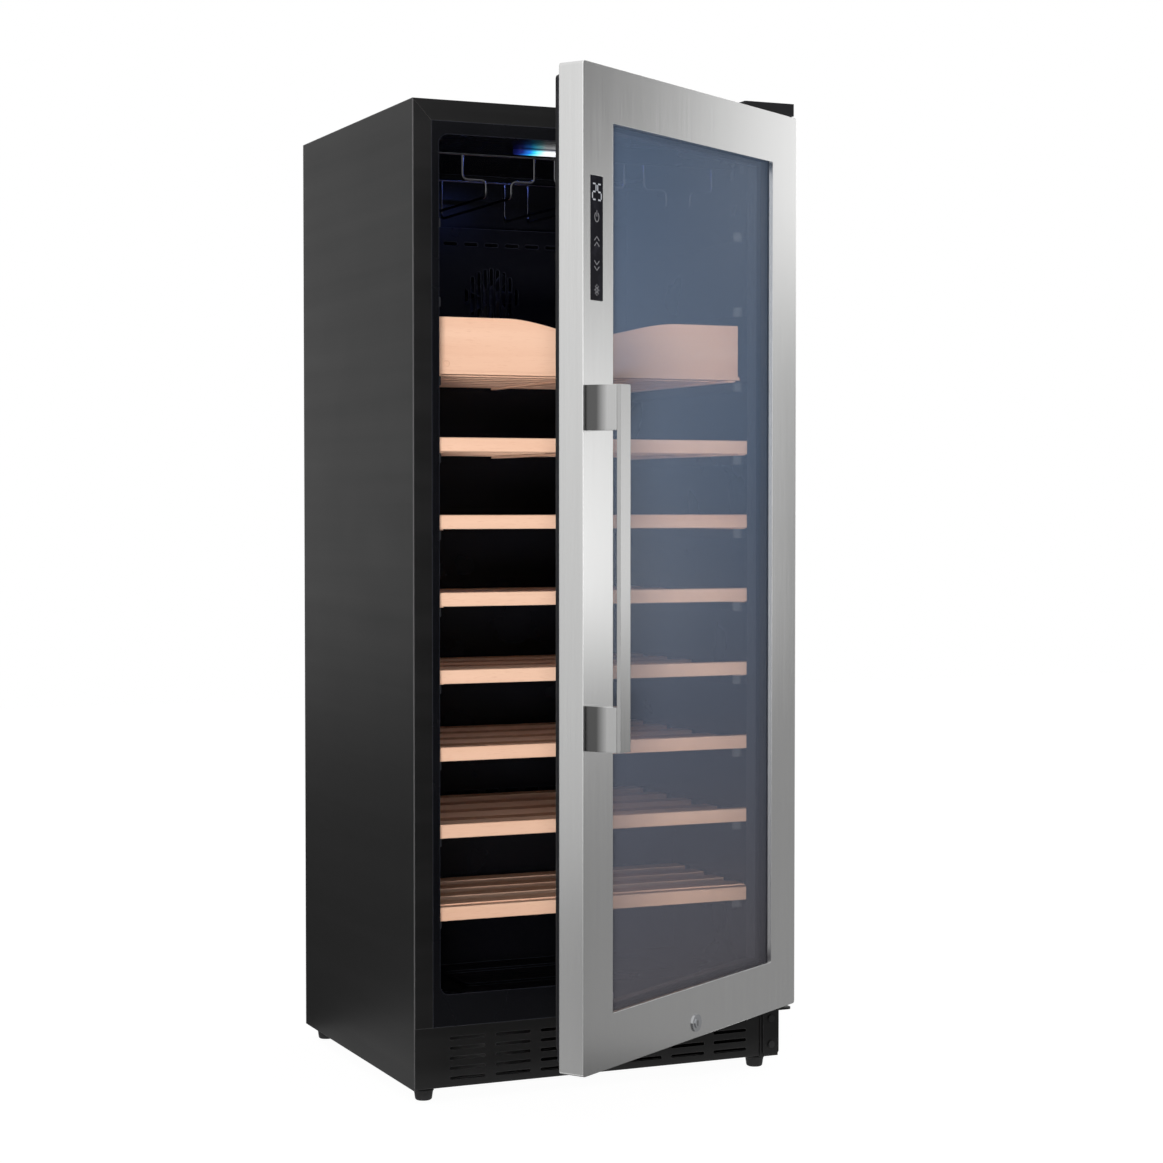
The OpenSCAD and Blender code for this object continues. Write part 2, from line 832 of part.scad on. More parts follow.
module condenser_coil() {
    fin_t = 0.8;
    fin_margin = 15;
    rows = 4;
    plate_t = 3;
    plate_out = 4;
    tube_inset = 15.5;
    pitch = condenser_side / rows;
    fin_pitch = (condenser_side - 2 * fin_margin) / (fin_n - 1);
    color("#b87b4a") in_cabinet() translate([condenser_x, condenser_y, 0]) {
        for (i = [0:fin_n - 1])
            translate([0, fin_margin + i * fin_pitch, condenser_z])
                cube([condenser_t, fin_t, condenser_side]);
        for (j = [0:rows - 1], x = [tube_inset, condenser_t - tube_inset])
            rod_y(x, 0, condenser_side, condenser_z + (j + 0.5) * pitch, tube_r);
        for (y = [fin_margin / 2, condenser_side - fin_margin / 2 - plate_t])
            block([-plate_out, y, pan_t],
                [condenser_t + plate_out, y + plate_t, condenser_z + condenser_side + 2]);
    }
}

module condenser_shroud() {
    mid = condenser_y + condenser_side / 2;
    motor_x = shroud_x + shroud_t;
    arm_h = 6;
    arm_t = 4;
    tip_gap = 3;
    color(black) in_cabinet() {
        difference() {
            block([shroud_x, condenser_y, pan_t], [motor_x, condenser_y + condenser_side,
                condenser_z + condenser_side]);
            rod_x(shroud_x - 1, motor_x + 1, mid, fan_z, fan_r + tip_gap);
        }
        for (z = [-0.7, 0.7] * motor_r)
            block([motor_x - e, condenser_y, fan_z + z - arm_h / 2],
                [motor_x + arm_t, condenser_y + condenser_side, fan_z + z + arm_h / 2]);
        rod_x(motor_x, motor_x + fan_mount_h, mid, fan_z, motor_r);
        rod_x(shroud_x - fan_h - fan_gap, motor_x + 1, mid, fan_z, shaft_r);
    }
}

// A fan on an axis along Z, with its hub from 0 to h
module fan(r, h, blades, hub_r) {
    blade_t = 1.6;
    blade_w = 0.52 * r;
    pitch_angle = 32;
    difference() {
        union() {
            cylinder(r = hub_r, h = h);
            intersection() {
                cylinder(r = r, h = h);
                for (i = [0:blades - 1]) rotate([0, 0, i * 360 / blades])
                    translate([hub_r - 2, 0, h / 2]) rotate([pitch_angle, 0, 0])
                        translate([0, -blade_w / 2, -blade_t / 2]) cube([r, blade_w, blade_t]);
            }
        }
        translate([0, 0, -1]) cylinder(r = shaft_r + run_fit, h = h + 2);
    }
}

module condenser_fan() {
    color("#2a2a2c") in_cabinet()
        translate([shroud_x - fan_h - fan_gap, condenser_y + condenser_side / 2, fan_z]) rotate([0, 90, 0])
            fan(fan_r, fan_h, 5, 18);
}

module drip_tray() {
    wall = 2;
    w = 64;
    d = 62;
    h = 22;
    color(soft_black) in_cabinet() difference() {
        plan_plate(compressor_x - w, compressor_x + w, compressor_y - d, compressor_y + d,
            tray_floor_z - 1, tray_floor_z + h, 8);
        plan_plate(compressor_x - w + wall, compressor_x + w - wall, compressor_y - d + wall,
            compressor_y + d - wall, tray_floor_z - 1 + wall, tray_floor_z + h + 1, 6);
    }
}

module rear_grille() {
    cols = 6;
    rows = 9;
    vent_l = 56;
    vent_w = 6;
    pitch_x = 78;
    pitch_z = 20;
    vents_mid = [-20, 170];
    color(black) in_cabinet() difference() {
        block([-inner_x, inner_y, pan_t], [inner_x, cab_d, machine_h]);
        for (i = [0:cols - 1], j = [0:rows - 1]) {
            x = vents_mid[0] + (i - (cols - 1) / 2) * pitch_x;
            z = vents_mid[1] + (j - (rows - 1) / 2) * pitch_z;
            front_slot(x, z, vent_l, vent_w, inner_y - 1, cab_d + 1);
        }
        rod_y(gland_x, inner_y - 1, cab_d + 1, gland_z, gland_neck);
    }
}

module cord_gland() {
    lip = 3;
    color(soft_black) in_cabinet() difference() {
        union() {
            rod_y(gland_x, inner_y - lip, inner_y, gland_z, gland_r);
            rod_y(gland_x, inner_y - e, cab_d + e, gland_z, gland_neck - seat_fit);
            rod_y(gland_x, cab_d, cab_d + lip, gland_z, gland_r);
        }
        rod_y(gland_x, inner_y - lip - 1, cab_d + lip + 1, gland_z, gland_bore);
    }
}

module control_box() {
    box_w = 80;
    box_d = 116;
    box_h = 96;
    flange_t = 3;
    flange_over = 8;
    box_y = 34;
    box_drop = 54;
    y0 = machine_y + box_y;
    z1 = machine_h - box_drop;
    color("#3a3a3c") in_cabinet() {
        block([inner_x - box_w, y0, z1 - box_h], [inner_x, y0 + box_d, z1]);
        block([inner_x - flange_t, y0 - flange_over, z1 - box_h + flange_over],
            [inner_x, y0 + box_d + flange_over, z1 - flange_over]);
    }
}

module drain_tube() {
    color("#c8c8c4") in_cabinet() difference() {
        rod_z(compressor_x, drain_y, drain_low, hump_z, drain_r);
        rod_z(compressor_x, drain_y, drain_low - 1, hump_z + 1, drain_r - drain_wall);
    }
}

module duct_panel() {
    bar_pitch = 11;
    bar_gap = 6;
    vent_pitch = 36;
    vent_l = 24;
    vents_low = 40;
    vents_high = 26;
    corner_r = 10;
    guard_r = duct_fan_r + 2;
    color(soft_black) in_cabinet() difference() {
        front_plate(-duct_w / 2, duct_w / 2, duct_z0, duct_z1, duct_front, cavity_y, corner_r);
        front_plate(-duct_w / 2 + duct_t, duct_w / 2 - duct_t, duct_z0 + duct_t, duct_z1 - duct_t,
            duct_front + duct_t, cavity_y + 1, corner_r - duct_t);
        for (x = [-floor(guard_r / bar_pitch) * bar_pitch:bar_pitch:guard_r]) {
            chord = 2 * floor(sqrt(guard_r * guard_r - x * x));
            front_slot(x, duct_fan_z, bar_gap, chord, duct_front - 1, duct_front + duct_t + 1);
        }
        for (i = [-4:4], z = [duct_z0 + vents_low, duct_z1 - vents_high])
            front_slot(i * vent_pitch, z, vent_l, bar_gap, duct_front - 1, duct_front + duct_t + 1);
    }
}

module evaporator() {
    plate_t = 1.5;
    plate_over = 20;
    plate_in = 14;
    plate_x = duct_w / 2 - plate_in;
    runs = 8;
    run_pitch = 44;
    standoff_r = 5;
    plate_gap = 12;
    y = duct_front + plate_gap;
    color("#c9ccd0") in_cabinet() {
        block([-plate_x, y, coil_low - plate_over], [plate_x, y + plate_t, coil_high + plate_over]);
        for (i = [0:runs - 1]) rod_z((i - (runs - 1) / 2) * run_pitch, y, coil_low, coil_high, tube_r);
        for (s = [-1, 1], z = [coil_low, coil_high])
            rod_y(s * (plate_x - 2 * standoff_r), y + e, cavity_y, z, standoff_r);
    }
}

module duct_fan_motor() {
    color("#2a2a2c") in_cabinet() {
        rod_y(0, cavity_y - duct_motor_h, cavity_y, duct_fan_z, motor_r);
        rod_y(0, duct_front + duct_t + 3, cavity_y - duct_motor_h + 1, duct_fan_z, shaft_r);
    }
}

module duct_fan() {
    color("#2a2a2c") in_cabinet()
        translate([0, cavity_y - duct_motor_h - 2, duct_fan_z]) rotate([90, 0, 0])
            fan(duct_fan_r, duct_d - duct_t - duct_motor_h - 5, 7, 14);
}

module lamp_lens() {
    color("#9fd8ff") in_cabinet()
        translate([0, lamp_y, ceiling_z - lamp_t]) linear_extrude(lamp_t)
            slot_shape(-lamp_l / 2, lamp_l / 2, -lamp_w / 2, lamp_w / 2);
}

// Stemware hanger

// A quarter bend of wire that starts along the turned Y axis, centred on c
module bend(c, turn) {
    translate(c) rotate(turn) rotate_extrude(angle = 90) translate([bend_r, 0]) circle(wire_r);
}

// The right half of a glass channel, bent from one wire: down from the front crossbar, in under
// the glass foot, down beside the stem, back as a rail and up to the rear crossbar
module channel_wire() {
    r = bend_r;
    x0 = channel_w / 2;
    x1 = stem_slot / 2;
    y0 = hanger_front;
    y1 = hanger_front + hanger_d;
    top = hanger_z - wire_r - weld_gap;
    mid = hanger_z - channel_h;
    low = mid - lip_h;
    rod_z(x0, y0, mid + r, top, wire_r);
    bend([x0 - r, y0, mid + r], [-90, 0, 0]);
    rod_x(x1 + r, x0 - r, y0, mid, wire_r);
    bend([x1 + r, y0, mid - r], [90, -90, 0]);
    rod_z(x1, y0, low + r, mid - r, wire_r);
    bend([x1, y0 + r, low + r], [-90, 0, -90]);
    rod_y(x1, y0 + r, y1 - r, low, wire_r);
    bend([x1, y1 - r, low + r], [0, 90, 0]);
    rod_z(x1, y1, low + r, top, wire_r);
}

module glass_hanger() {
    color("#c4c6c9") in_cabinet() {
        for (y = [hanger_front, hanger_front + hanger_d])
            rod_x(-cavity_x + 2, cavity_x - 2, y, hanger_z, wire_r);
        for (i = [0:channel_n - 1])
            translate([(i - (channel_n - 1) / 2) * channel_pitch, 0, 0]) on_both_sides() channel_wire();
    }
}

module hanger_clips() {
    color(soft_black) in_cabinet() on_both_sides()
        for (y = [hanger_front, hanger_front + hanger_d])
            difference() {
                front_plate(cavity_x - clip_w, cavity_x, hanger_z - clip_half_h, hanger_z + clip_half_h,
                    y - clip_half_w, y + clip_half_w, 2);
                rod_x(cavity_x - clip_w - 1, cavity_x - clip_w + clip_depth, y, hanger_z,
                    wire_r + weld_gap);
            }
}

// Shelves

module shelf_board(top) {
    beam_x(-shelf_half, shelf_half, shelf_front, board_back, top - board_h, top, 2);
}

// Slats over a runner at each side and one in the middle
module shelf_slats(depth, n, slat_low, slat_high, runner_low) {
    step = (depth - slat_w) / (n - 1);
    for (i = [0:n - 1])
        block([-shelf_half, board_back + i * step, slat_low],
            [shelf_half, board_back + i * step + slat_w, slat_high]);
    for (x = [-shelf_half, -runner_w / 2, shelf_half - runner_w])
        block([x, board_back, runner_low], [x + runner_w, board_back + depth, slat_low]);
}

module shelf(i) {
    top = SHELF_TOPS[i - 1];
    slat_high = top - slat_drop;
    color(beech) in_cabinet() {
        shelf_board(top);
        shelf_slats(deck_d, slat_n, slat_high - slat_t, slat_high,
            top - board_h - ledge_drop + runner_gap);
    }
}

module shelf_1() { shelf(1); }
module shelf_2() { shelf(2); }
module shelf_3() { shelf(3); }
module shelf_4() { shelf(4); }
module shelf_5() { shelf(5); }
module shelf_6() { shelf(6); }

module display_shelf() {
    slat_high = display_z + display_rise;
    color(beech) in_cabinet() {
        shelf_board(display_z);
        shelf_slats(display_d, display_slat_n, slat_high - slat_t, slat_high, display_ledge + runner_gap);
    }
}

function tray_edge(x) =
    tray_z + tray_h - (abs(x) < dip_l ? dip_h * (0.5 + 0.5 * cos(180 * x / dip_l)) : 0);

module tray_front_board() {
    low = tray_z + tray_base_t;
    color(beech) in_cabinet() front_shape(tray_front, tray_front + tray_board_t)
        polygon(concat([[tray_half, low], [tray_half, tray_z + tray_h]],
            [for (k = [12:-1:-12]) let (x = k * dip_l / 12) [x, tray_edge(x)]],
            [[-tray_half, tray_z + tray_h], [-tray_half, low]]));
}

module tray_deck() {
    low = tray_z - tray_lip + runner_gap;
    front = tray_front + tray_board_t;
    step = (tray_back - front - slat_w) / tray_slat_n;
    overhang = 3;
    half = tray_half + overhang;
    stop_t = 12;
    stop_h = 30;
    color(beech) in_cabinet() {
        block([-half, tray_front, tray_z], [half, front + slat_w / 2, tray_z + tray_base_t]);
        for (i = [1:tray_slat_n])
            block([-half, front + i * step, tray_z],
                [half, front + i * step + slat_w, tray_z + tray_slat_t]);
        for (x = [-half, -runner_w / 2, half - runner_w])
            block([x, front, low], [x + runner_w, tray_back, tray_z]);
        block([-half, tray_back - stop_t, tray_z], [half, tray_back, tray_z + stop_h]);
    }
}

// Door

// A frame in the door's plane: outer box less inner box, from y0 to y1
module door_ring(grow, hole_x, hole_z, y0, y1, r) {
    difference() {
        front_plate(-door_x - grow, door_x + grow, door_z - grow, door_top + grow, y0, y1, r);
        front_plate(-hole_x, hole_x, window_z0 - hole_z, window_z1 + hole_z, y0 - 1, y1 + 1, 0);
    }
}

module lock_hole(r) {
    rod_y(0, door_face - 1, 1, lock_z, r);
}

module bush_bores() {
    for (z = [[door_z - 1, door_z + bush_l + bush_room], [door_top - bush_l - bush_room, door_top + 1]])
        rod_z(hinge_x, hinge_y, z[0], z[1], bush_r + seat_fit);
}

module handle_bolt_places() {
    for (z = [bar_z + post_h / 2, bar_z + bar_l - post_h / 2], s = [-0.5, 0.5])
        translate([bar_x + bar_w / 2, 0, z + s * bolt_spread]) children();
}

module panel_shape(grow, y0, y1) {
    front_plate(panel_x - grow, panel_x + panel_w + grow, panel_z - grow, panel_z + panel_h + grow,
        y0, y1, 1);
}

module door_skin() {
    rim = skin_t;
    color(steel) in_door() difference() {
        union() {
            door_ring(0, window_x, 0, door_face, door_face + rim, door_r);
            difference() {
                front_plate(-door_x, door_x, door_z, door_top, door_face, door_back, door_r);
                front_plate(-door_x + rim, door_x - rim, door_z + rim, door_top - rim, door_face - 1,
                    door_back + 1, door_r - rim);
            }
            difference() {
                front_plate(-window_x - rim, window_x + rim, window_z0 - rim, window_z1 + rim, door_face,
                    glass_face, 0);
                front_plate(-window_x, window_x, window_z0, window_z1, door_face - 1, glass_face + 1, 0);
            }
        }
        lock_hole(housing_r + seat_fit);
        panel_shape(seat_fit, door_face - 1, door_face + rim + 1);
        handle_bolt_places() rod_y(0, door_face - 1, door_face + rim + 1, 0, bolt_r + seat_fit);
        rod_z(hinge_x, hinge_y, door_z - 1, door_top + 1, bush_r + seat_fit);
    }
}

module door_core() {
    front = door_face + skin_t;
    color(soft_black) in_door() difference() {
        door_ring(-skin_t, window_x + skin_t, skin_t, front, glass_back, door_r - skin_t);
        front_plate(-pane_x - pane_play, pane_x + pane_play, window_z0 - pane_lap - pane_play,
            window_z1 + pane_lap + pane_play, glass_face, glass_back + 1, 0);
        lock_hole(housing_r + seat_fit);
        panel_shape(seat_fit, front - 1, front + 10);
        handle_bolt_places()
            rod_y(0, front - 1, front + bolt_head_t + bolt_room, 0, bolt_head_r + seat_fit);
        bush_bores();
    }
}

module door_liner() {
    pad_over = 1;
    pad_in = gasket_inset - pad_over;
    liner_lap = 4;
    liner_x = window_x - liner_lap;
    color(soft_black) in_door() difference() {
        union() {
            door_ring(-skin_t - seat_fit, liner_x, -liner_lap, glass_back, door_back, door_r - skin_t);
            difference() {
                front_plate(-door_x + gasket_free - pad_over, door_x - pad_in, door_z + pad_in,
                    door_top - pad_in, door_back - e, door_back + pad_t, 6);
                front_plate(-liner_x, liner_x, window_z0 + liner_lap, window_z1 - liner_lap,
                    door_back - 1, door_back + pad_t + 1, 0);
            }
        }
        lock_hole(housing_r + seat_fit);
        bush_bores();
    }
}

module gasket_ring(inset, y0, y1) {
    x0 = -door_x + gasket_free + inset;
    x1 = door_x - gasket_inset - inset;
    z0 = gasket_low + inset;
    z1 = door_top - gasket_inset - inset;
    w = gasket_w - 2 * inset;
    difference() {
        front_plate(x0, x1, z0, z1, y0, y1, 6);
        front_plate(x0 + w, x1 - w, z0 + w, z1 - w, y0 - 1, y1 + 1, 3);
    }
}

module door_gasket() {
    y0 = door_back + pad_t;
    color("#242426") in_door() {
        gasket_ring(3, y0, -gasket_gap);
        gasket_ring(0, y0 + 1.5, -gasket_gap - 0.7);
    }
}

module hinge_bushes() {
    color("#e4e4e0") in_door() difference() {
        union() {
            rod_z(hinge_x, hinge_y, hinge_plate_z + 0.3, door_z, bush_r + 2);
            rod_z(hinge_x, hinge_y, door_z - e, door_z + bush_l, bush_r);
            rod_z(hinge_x, hinge_y, door_top - bush_l, door_top, bush_r);
        }
        rod_z(hinge_x, hinge_y, door_z - 5, door_top + 1, pin_r + run_fit);
    }
}

module pane(y0) {
    front_plate(-pane_x, pane_x, window_z0 - pane_lap, window_z1 + pane_lap, y0, y0 + pane_t, 2);
}

module outer_pane() {
    color(clear_tint) in_door() pane(glass_face);
}

module inner_pane() {
    color(clear_tint) in_door() pane(glass_face + pane_t + pane_gap);
}

module pane_spacer() {
    y0 = glass_face + pane_t;
    inset = 2;
    x = pane_x - inset;
    z0 = window_z0 - pane_lap + inset;
    z1 = window_z1 + pane_lap - inset;
    color("#6d6f72") in_door() difference() {
        front_plate(-x, x, z0, z1, y0, y0 + pane_gap, 2);
        front_plate(-x + spacer_w, x - spacer_w, z0 + spacer_w, z1 - spacer_w, y0 - 1,
            y0 + pane_gap + 1, 0);
    }
}

module handle_bar() {
    color(steel) in_door()
        plan_plate(bar_x, bar_x + bar_w, bar_back - bar_t, bar_back, bar_z, bar_z + bar_l, 1);
}

module handle_posts() {
    color(steel) in_door() difference() {
        for (z = [bar_z, bar_z + bar_l - post_h])
            plan_plate(bar_x, bar_x + bar_w - post_inset, bar_back, door_face, z, z + post_h, post_r);
        handle_bolt_places() rod_y(0, door_face - bolt_in - 1, door_face + 1, 0, bolt_r + seat_fit);
    }
}

module handle_bolts() {
    front = door_face + skin_t;
    color(zinc) in_door() handle_bolt_places() {
        rod_y(0, door_face - bolt_in, front + e, 0, bolt_r);
        rod_y(0, front, front + bolt_head_t, 0, bolt_head_r);
    }
}

module touch_panel() {
    color("#0a0a0b") in_door() panel_shape(0, door_face - 0.3, door_face + panel_t);
}

module display_board() {
    color("#20402c") in_door()
        front_plate(panel_x + pcb_in_x, panel_x + panel_w - pcb_in_x, panel_z + pcb_in_z,
            panel_z + panel_h - pcb_in_z, door_face + panel_t, door_face + panel_t + pcb_t, 1);
}

module lock_housing() {
    color(steel) in_door() difference() {
        union() {
            rod_y(0, door_face - bezel_t, door_face, lock_z, lock_r);
            rod_y(0, door_face - e, door_back + pad_t, lock_z, housing_r);
        }
        lock_bore();
    }
}

module lock_bore() {
    rod_y(0, door_face - bezel_t - 1, 1, lock_z, barrel_r + run_fit);
}

module lock_barrel() {
    front = door_face - barrel_out;
    color("#d6d6d4") in_door() {
        difference() {
            rod_y(0, front, door_back + pad_t, lock_z, barrel_r);
            front_plate(-keyway_w / 2, keyway_w / 2, lock_z - keyway_h / 2, lock_z + keyway_h / 2,
                front - 1, front + keyway_d, 0);
        }
        rod_y(0, door_back + pad_t - e, cam_y + cam_t, lock_z, cam_rod_r);
        block([-cam_l, cam_y, lock_z - cam_w / 2], [0, cam_y + cam_t, lock_z + cam_w / 2]);
    }
}

side_panel_left();
side_panel_right();
top_panel();
rear_panel();
base_pan();
machine_deck();
insulation();
inner_liner();
kick_plate();
strike_plate();
lower_hinge_bracket();
upper_hinge_bracket();
hinge_pins();
hinge_cover();
hinge_screws();
compressor();
compressor_mounts();
condenser_coil();
condenser_shroud();
condenser_fan();
drip_tray();
rear_grille();
cord_gland();
control_box();
drain_tube();
duct_panel();
evaporator();
duct_fan_motor();
duct_fan();
lamp_lens();
glass_hanger();
hanger_clips();
shelf_1();
shelf_2();
shelf_3();
shelf_4();
shelf_5();
shelf_6();
display_shelf();
tray_front_board();
tray_deck();
door_skin();
door_core();
door_liner();
door_gasket();
hinge_bushes();
outer_pane();
pane_spacer();
inner_pane();
handle_bar();
handle_posts();
handle_bolts();
touch_panel();
display_board();
lock_housing();
lock_barrel();
foot_front_left();
foot_front_right();
foot_rear_left();
foot_rear_right();
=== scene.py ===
"""Finishes, small fittings and studio of a tall wine cooler with a glass door."""

import json
import math

import bmesh
import bpy
from bpy.props import FloatProperty, FloatVectorProperty, PointerProperty
from bpy.types import Operator, Panel, PropertyGroup
from mathutils import Matrix, Vector


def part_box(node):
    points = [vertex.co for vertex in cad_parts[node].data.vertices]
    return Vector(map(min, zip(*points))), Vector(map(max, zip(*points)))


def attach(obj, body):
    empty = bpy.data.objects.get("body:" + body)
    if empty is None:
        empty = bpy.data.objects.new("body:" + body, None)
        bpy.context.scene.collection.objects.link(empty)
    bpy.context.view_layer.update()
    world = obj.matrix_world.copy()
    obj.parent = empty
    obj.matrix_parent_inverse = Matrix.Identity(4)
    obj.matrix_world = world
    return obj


bl_info = {
    "name": "Wine Cooler",
    "version": (1, 0, 0),
    "blender": (4, 5, 0),
    "location": "3D View > Sidebar > Wine Cooler",
    "description": "Dresses a tall wine cooler and sets up its studio",
    "category": "Object",
}

MM = 0.001
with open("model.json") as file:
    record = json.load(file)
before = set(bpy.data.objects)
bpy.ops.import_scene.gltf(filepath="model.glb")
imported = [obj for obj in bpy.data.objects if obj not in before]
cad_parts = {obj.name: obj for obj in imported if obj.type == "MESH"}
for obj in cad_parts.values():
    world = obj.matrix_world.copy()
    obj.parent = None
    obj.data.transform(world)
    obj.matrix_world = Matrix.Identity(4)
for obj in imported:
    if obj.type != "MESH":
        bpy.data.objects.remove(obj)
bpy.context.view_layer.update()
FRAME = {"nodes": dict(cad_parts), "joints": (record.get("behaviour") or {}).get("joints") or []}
NODES = FRAME["nodes"]


def joint(name):
    return next(j for j in FRAME["joints"] if j["name"] == name)


SWING = joint("door_swing")
HINGE = Vector(SWING["pos_m"])
DOOR_ANGLE = math.radians(-SWING["range_deg"][0])
DOOR_PLACE = (
    Matrix.Translation(HINGE) @ Matrix.Rotation(DOOR_ANGLE, 4, "Z") @ Matrix.Translation(-HINGE)
)
DOOR_BACK = DOOR_PLACE.inverted()

ALONG_Y, ALONG_Z = 1, 2
WHITE = (1.0, 1.0, 1.0, 1.0)

# Colours of parts that are hidden or small
RUBBER = (0.010, 0.010, 0.0105)
FOAM = (0.75, 0.66, 0.42)
ZINC = (0.52, 0.54, 0.56)
CHROME = (0.62, 0.63, 0.65)
DARK_WIRE = (0.17, 0.17, 0.18)
COPPER = (0.72, 0.36, 0.22)
ALUMINIUM = (0.78, 0.79, 0.80)
PALE_PLASTIC = (0.72, 0.72, 0.69)
SPACER_BLACK = (0.05, 0.05, 0.055)
PANEL_BLACK = (0.011, 0.011, 0.015)
BOARD_GREEN = (0.02, 0.10, 0.05)
BOARD_COPPER = (0.3, 0.22, 0.06, 1.0)
SCREW_BLACK = (0.06, 0.06, 0.06)
GROUND_STEEL = (0.6, 0.6, 0.6)

# The handle's steel as shares of the door's, a painted shade that keeps the bar and posts darker than the
# door, and the posts' painted shade towards the door: from and to these shares of their depth, with the dark
# end at the last share of their tone
BAR_SHADE_SHARE = 0.72
POST_SHADE_SHARE = 0.85
POST_PAINTED_SHADE = (0.35, 0.70, 0.2)

# How round the edges of each material look
SHEET_EDGE = 1.2 * MM
MOULDED_EDGE = 1.0 * MM
WOOD_EDGE = 1.0 * MM

# How far each pane veils what is behind it
OUTER_VEIL = 0.14
INNER_VEIL = 0.09

# The touch panel: digits and signs by their height in shares of the panel, from its top
DIGITS = ((-1, "abged"), (1, "afgcd"))
DIGITS_DROP = 0.13
DIGIT_SPACING = 6.4 * MM
DIGIT_GAP = 1.3 * MM
SIGNS = (("power", 0.323), ("up", 0.526), ("down", 0.72), ("lamp", 0.916))
MARK_PROUD = 0.12 * MM
MARK_DEPTH = 0.1 * MM

# The tray's plugs: from the ends and the foot of its front board
PLUG_INSET = 11 * MM
PLUG_RISE = 10 * MM
PLUG_ARC = (0, 345, 23)

# The studio's cards: shades by share of the height, from the floor up
LEFT_CARD = ((0.05, 0.62), (0.22, 0.78), (0.6, 0.95), (1.0, 1.0))
LEFT_BACK_CARD = ((0.02, 0.13), (0.28, 0.46), (0.6, 0.28), (1.0, 0.22))
FRONT_CARD = ((0.02, 0.12), (0.4, 0.14), (1.0, 0.06))
RIGHT_CARD_NEAR = (
    (0.03, 0.34), (0.12, 0.42), (0.22, 1.45), (0.38, 1.05), (0.52, 0.45), (0.61, 0.2), (1.0, 0.14))
RIGHT_CARD_FAR = (
    (0.05, 0.32), (0.26, 0.21), (0.40, 0.45), (0.54, 1.35), (0.66, 1.4), (0.80, 0.8), (1.0, 0.5))
RIGHT_CARD_SPAN = (-0.42, -0.1)
SIDEWAYS = math.pi / 2
# Name, place, size, turn, shades, and then the shades at the far end and the span between
UPRIGHT_CARDS = (
    ("card_right", (2.8, 0.0, 1.5), (5.0, 3.0), -SIDEWAYS, RIGHT_CARD_NEAR, RIGHT_CARD_FAR, RIGHT_CARD_SPAN),
    ("card_left", (-2.6, -1.6, 1.5), (5.0, 3.0), SIDEWAYS, LEFT_CARD),
    ("card_left_back", (-2.6, 5.0, 1.5), (8.0, 3.0), SIDEWAYS, LEFT_BACK_CARD),
    ("card_front", (2.7, -5.6, 1.5), (3.2, 3.0), 0.0, FRONT_CARD),
)
# Name, place on the floor, size and shade
FLOOR_CARDS = (
    ("floor_card_front", (-0.1, -2.9), (6.0, 4.4), 0.18),
    ("floor_card_sill", (0.1, -0.53), (0.7, 0.34), 0.18),
    ("floor_card_right", (1.65, 1.3), (2.6, 4.0), 0.33),
    ("floor_card_left", (-1.8, -0.2), (3.0, 1.0), 0.42),
    ("floor_card_back", (-1.8, 3.6), (3.0, 6.6), 0.1),
)
CARD_LIFT = 2 * MM

# The lamps
CAVITY_LIGHT = (0.16, 0.24, 1.0)
KEY_LIGHT = (1.0, 0.97, 0.94)
KEY_PLACE = (-2.0, -3.9, 0.35)
KEY_SIZE = (1.2, 0.4)
KEY_AIM = (0.0, 0.0, 1.3)
KEY_SPREAD = math.radians(70)

# The floor: its size, how bright its white is and how much of that shows over the lit paper
FLOOR_SIZE = (14, 14)
FLOOR_WHITE = 1.2
FLOOR_SHARE = 0.8
SENSOR_WIDTH = 36.0


def closed_box(node):
    """Lowest and highest corner of a door node, as if the door were closed."""
    corners = [DOOR_BACK @ v.co for v in NODES[node].data.vertices]
    low = Vector(min(c[i] for c in corners) for i in range(3))
    high = Vector(max(c[i] for c in corners) for i in range(3))
    return low, high


# Settings


def tone(name, description, default):
    return FloatVectorProperty(
        name=name, description=description, default=default, subtype="COLOR", size=3, min=0.0, max=1.0
    )


def length(name, description, default):
    return FloatProperty(
        name=name, description=description, default=default, subtype="DISTANCE", unit="LENGTH", min=0.0
    )


class CoolerFinishes(PropertyGroup):
    """Colours of the cooler's materials."""

    coat: tone("Cabinet coat", "Black coat of the steel cabinet", (0.0055, 0.0055, 0.0057))
    steel: tone("Steel", "Brushed stainless steel of the door and handle", (0.72, 0.72, 0.715))
    plastic: tone("Black plastic", "Moulded plastic of the cavity and door frame", (0.0026, 0.0028, 0.004))
    glass: tone("Glass", "Veil of the tinted glass", (0.225, 0.33, 0.52))
    wood_light: tone("Pale wood", "Light bands of the beech", (0.86, 0.575, 0.425))
    wood_dark: tone("Dark wood", "Growth lines and flecks of the beech", (0.75, 0.445, 0.305))
    lamp_core: tone("Lamp core", "Middle of the lamp's lens", (0.88, 0.90, 0.92))
    lamp_edge: tone("Lamp edge", "Ends of the lamp's lens", (0.002, 0.003, 0.03))
    # Painted light on the front ends of the ledges in the cavity.
    ledge_end_light: tone("Ledge ends", "Front ends of the ledges in the cavity", (0.09, 0.095, 0.10))
    digits: tone("Digits", "Lit digits of the touch panel", (0.36, 0.38, 0.42))
    signs: tone("Signs", "Signs of the touch panel", (0.16, 0.16, 0.175))


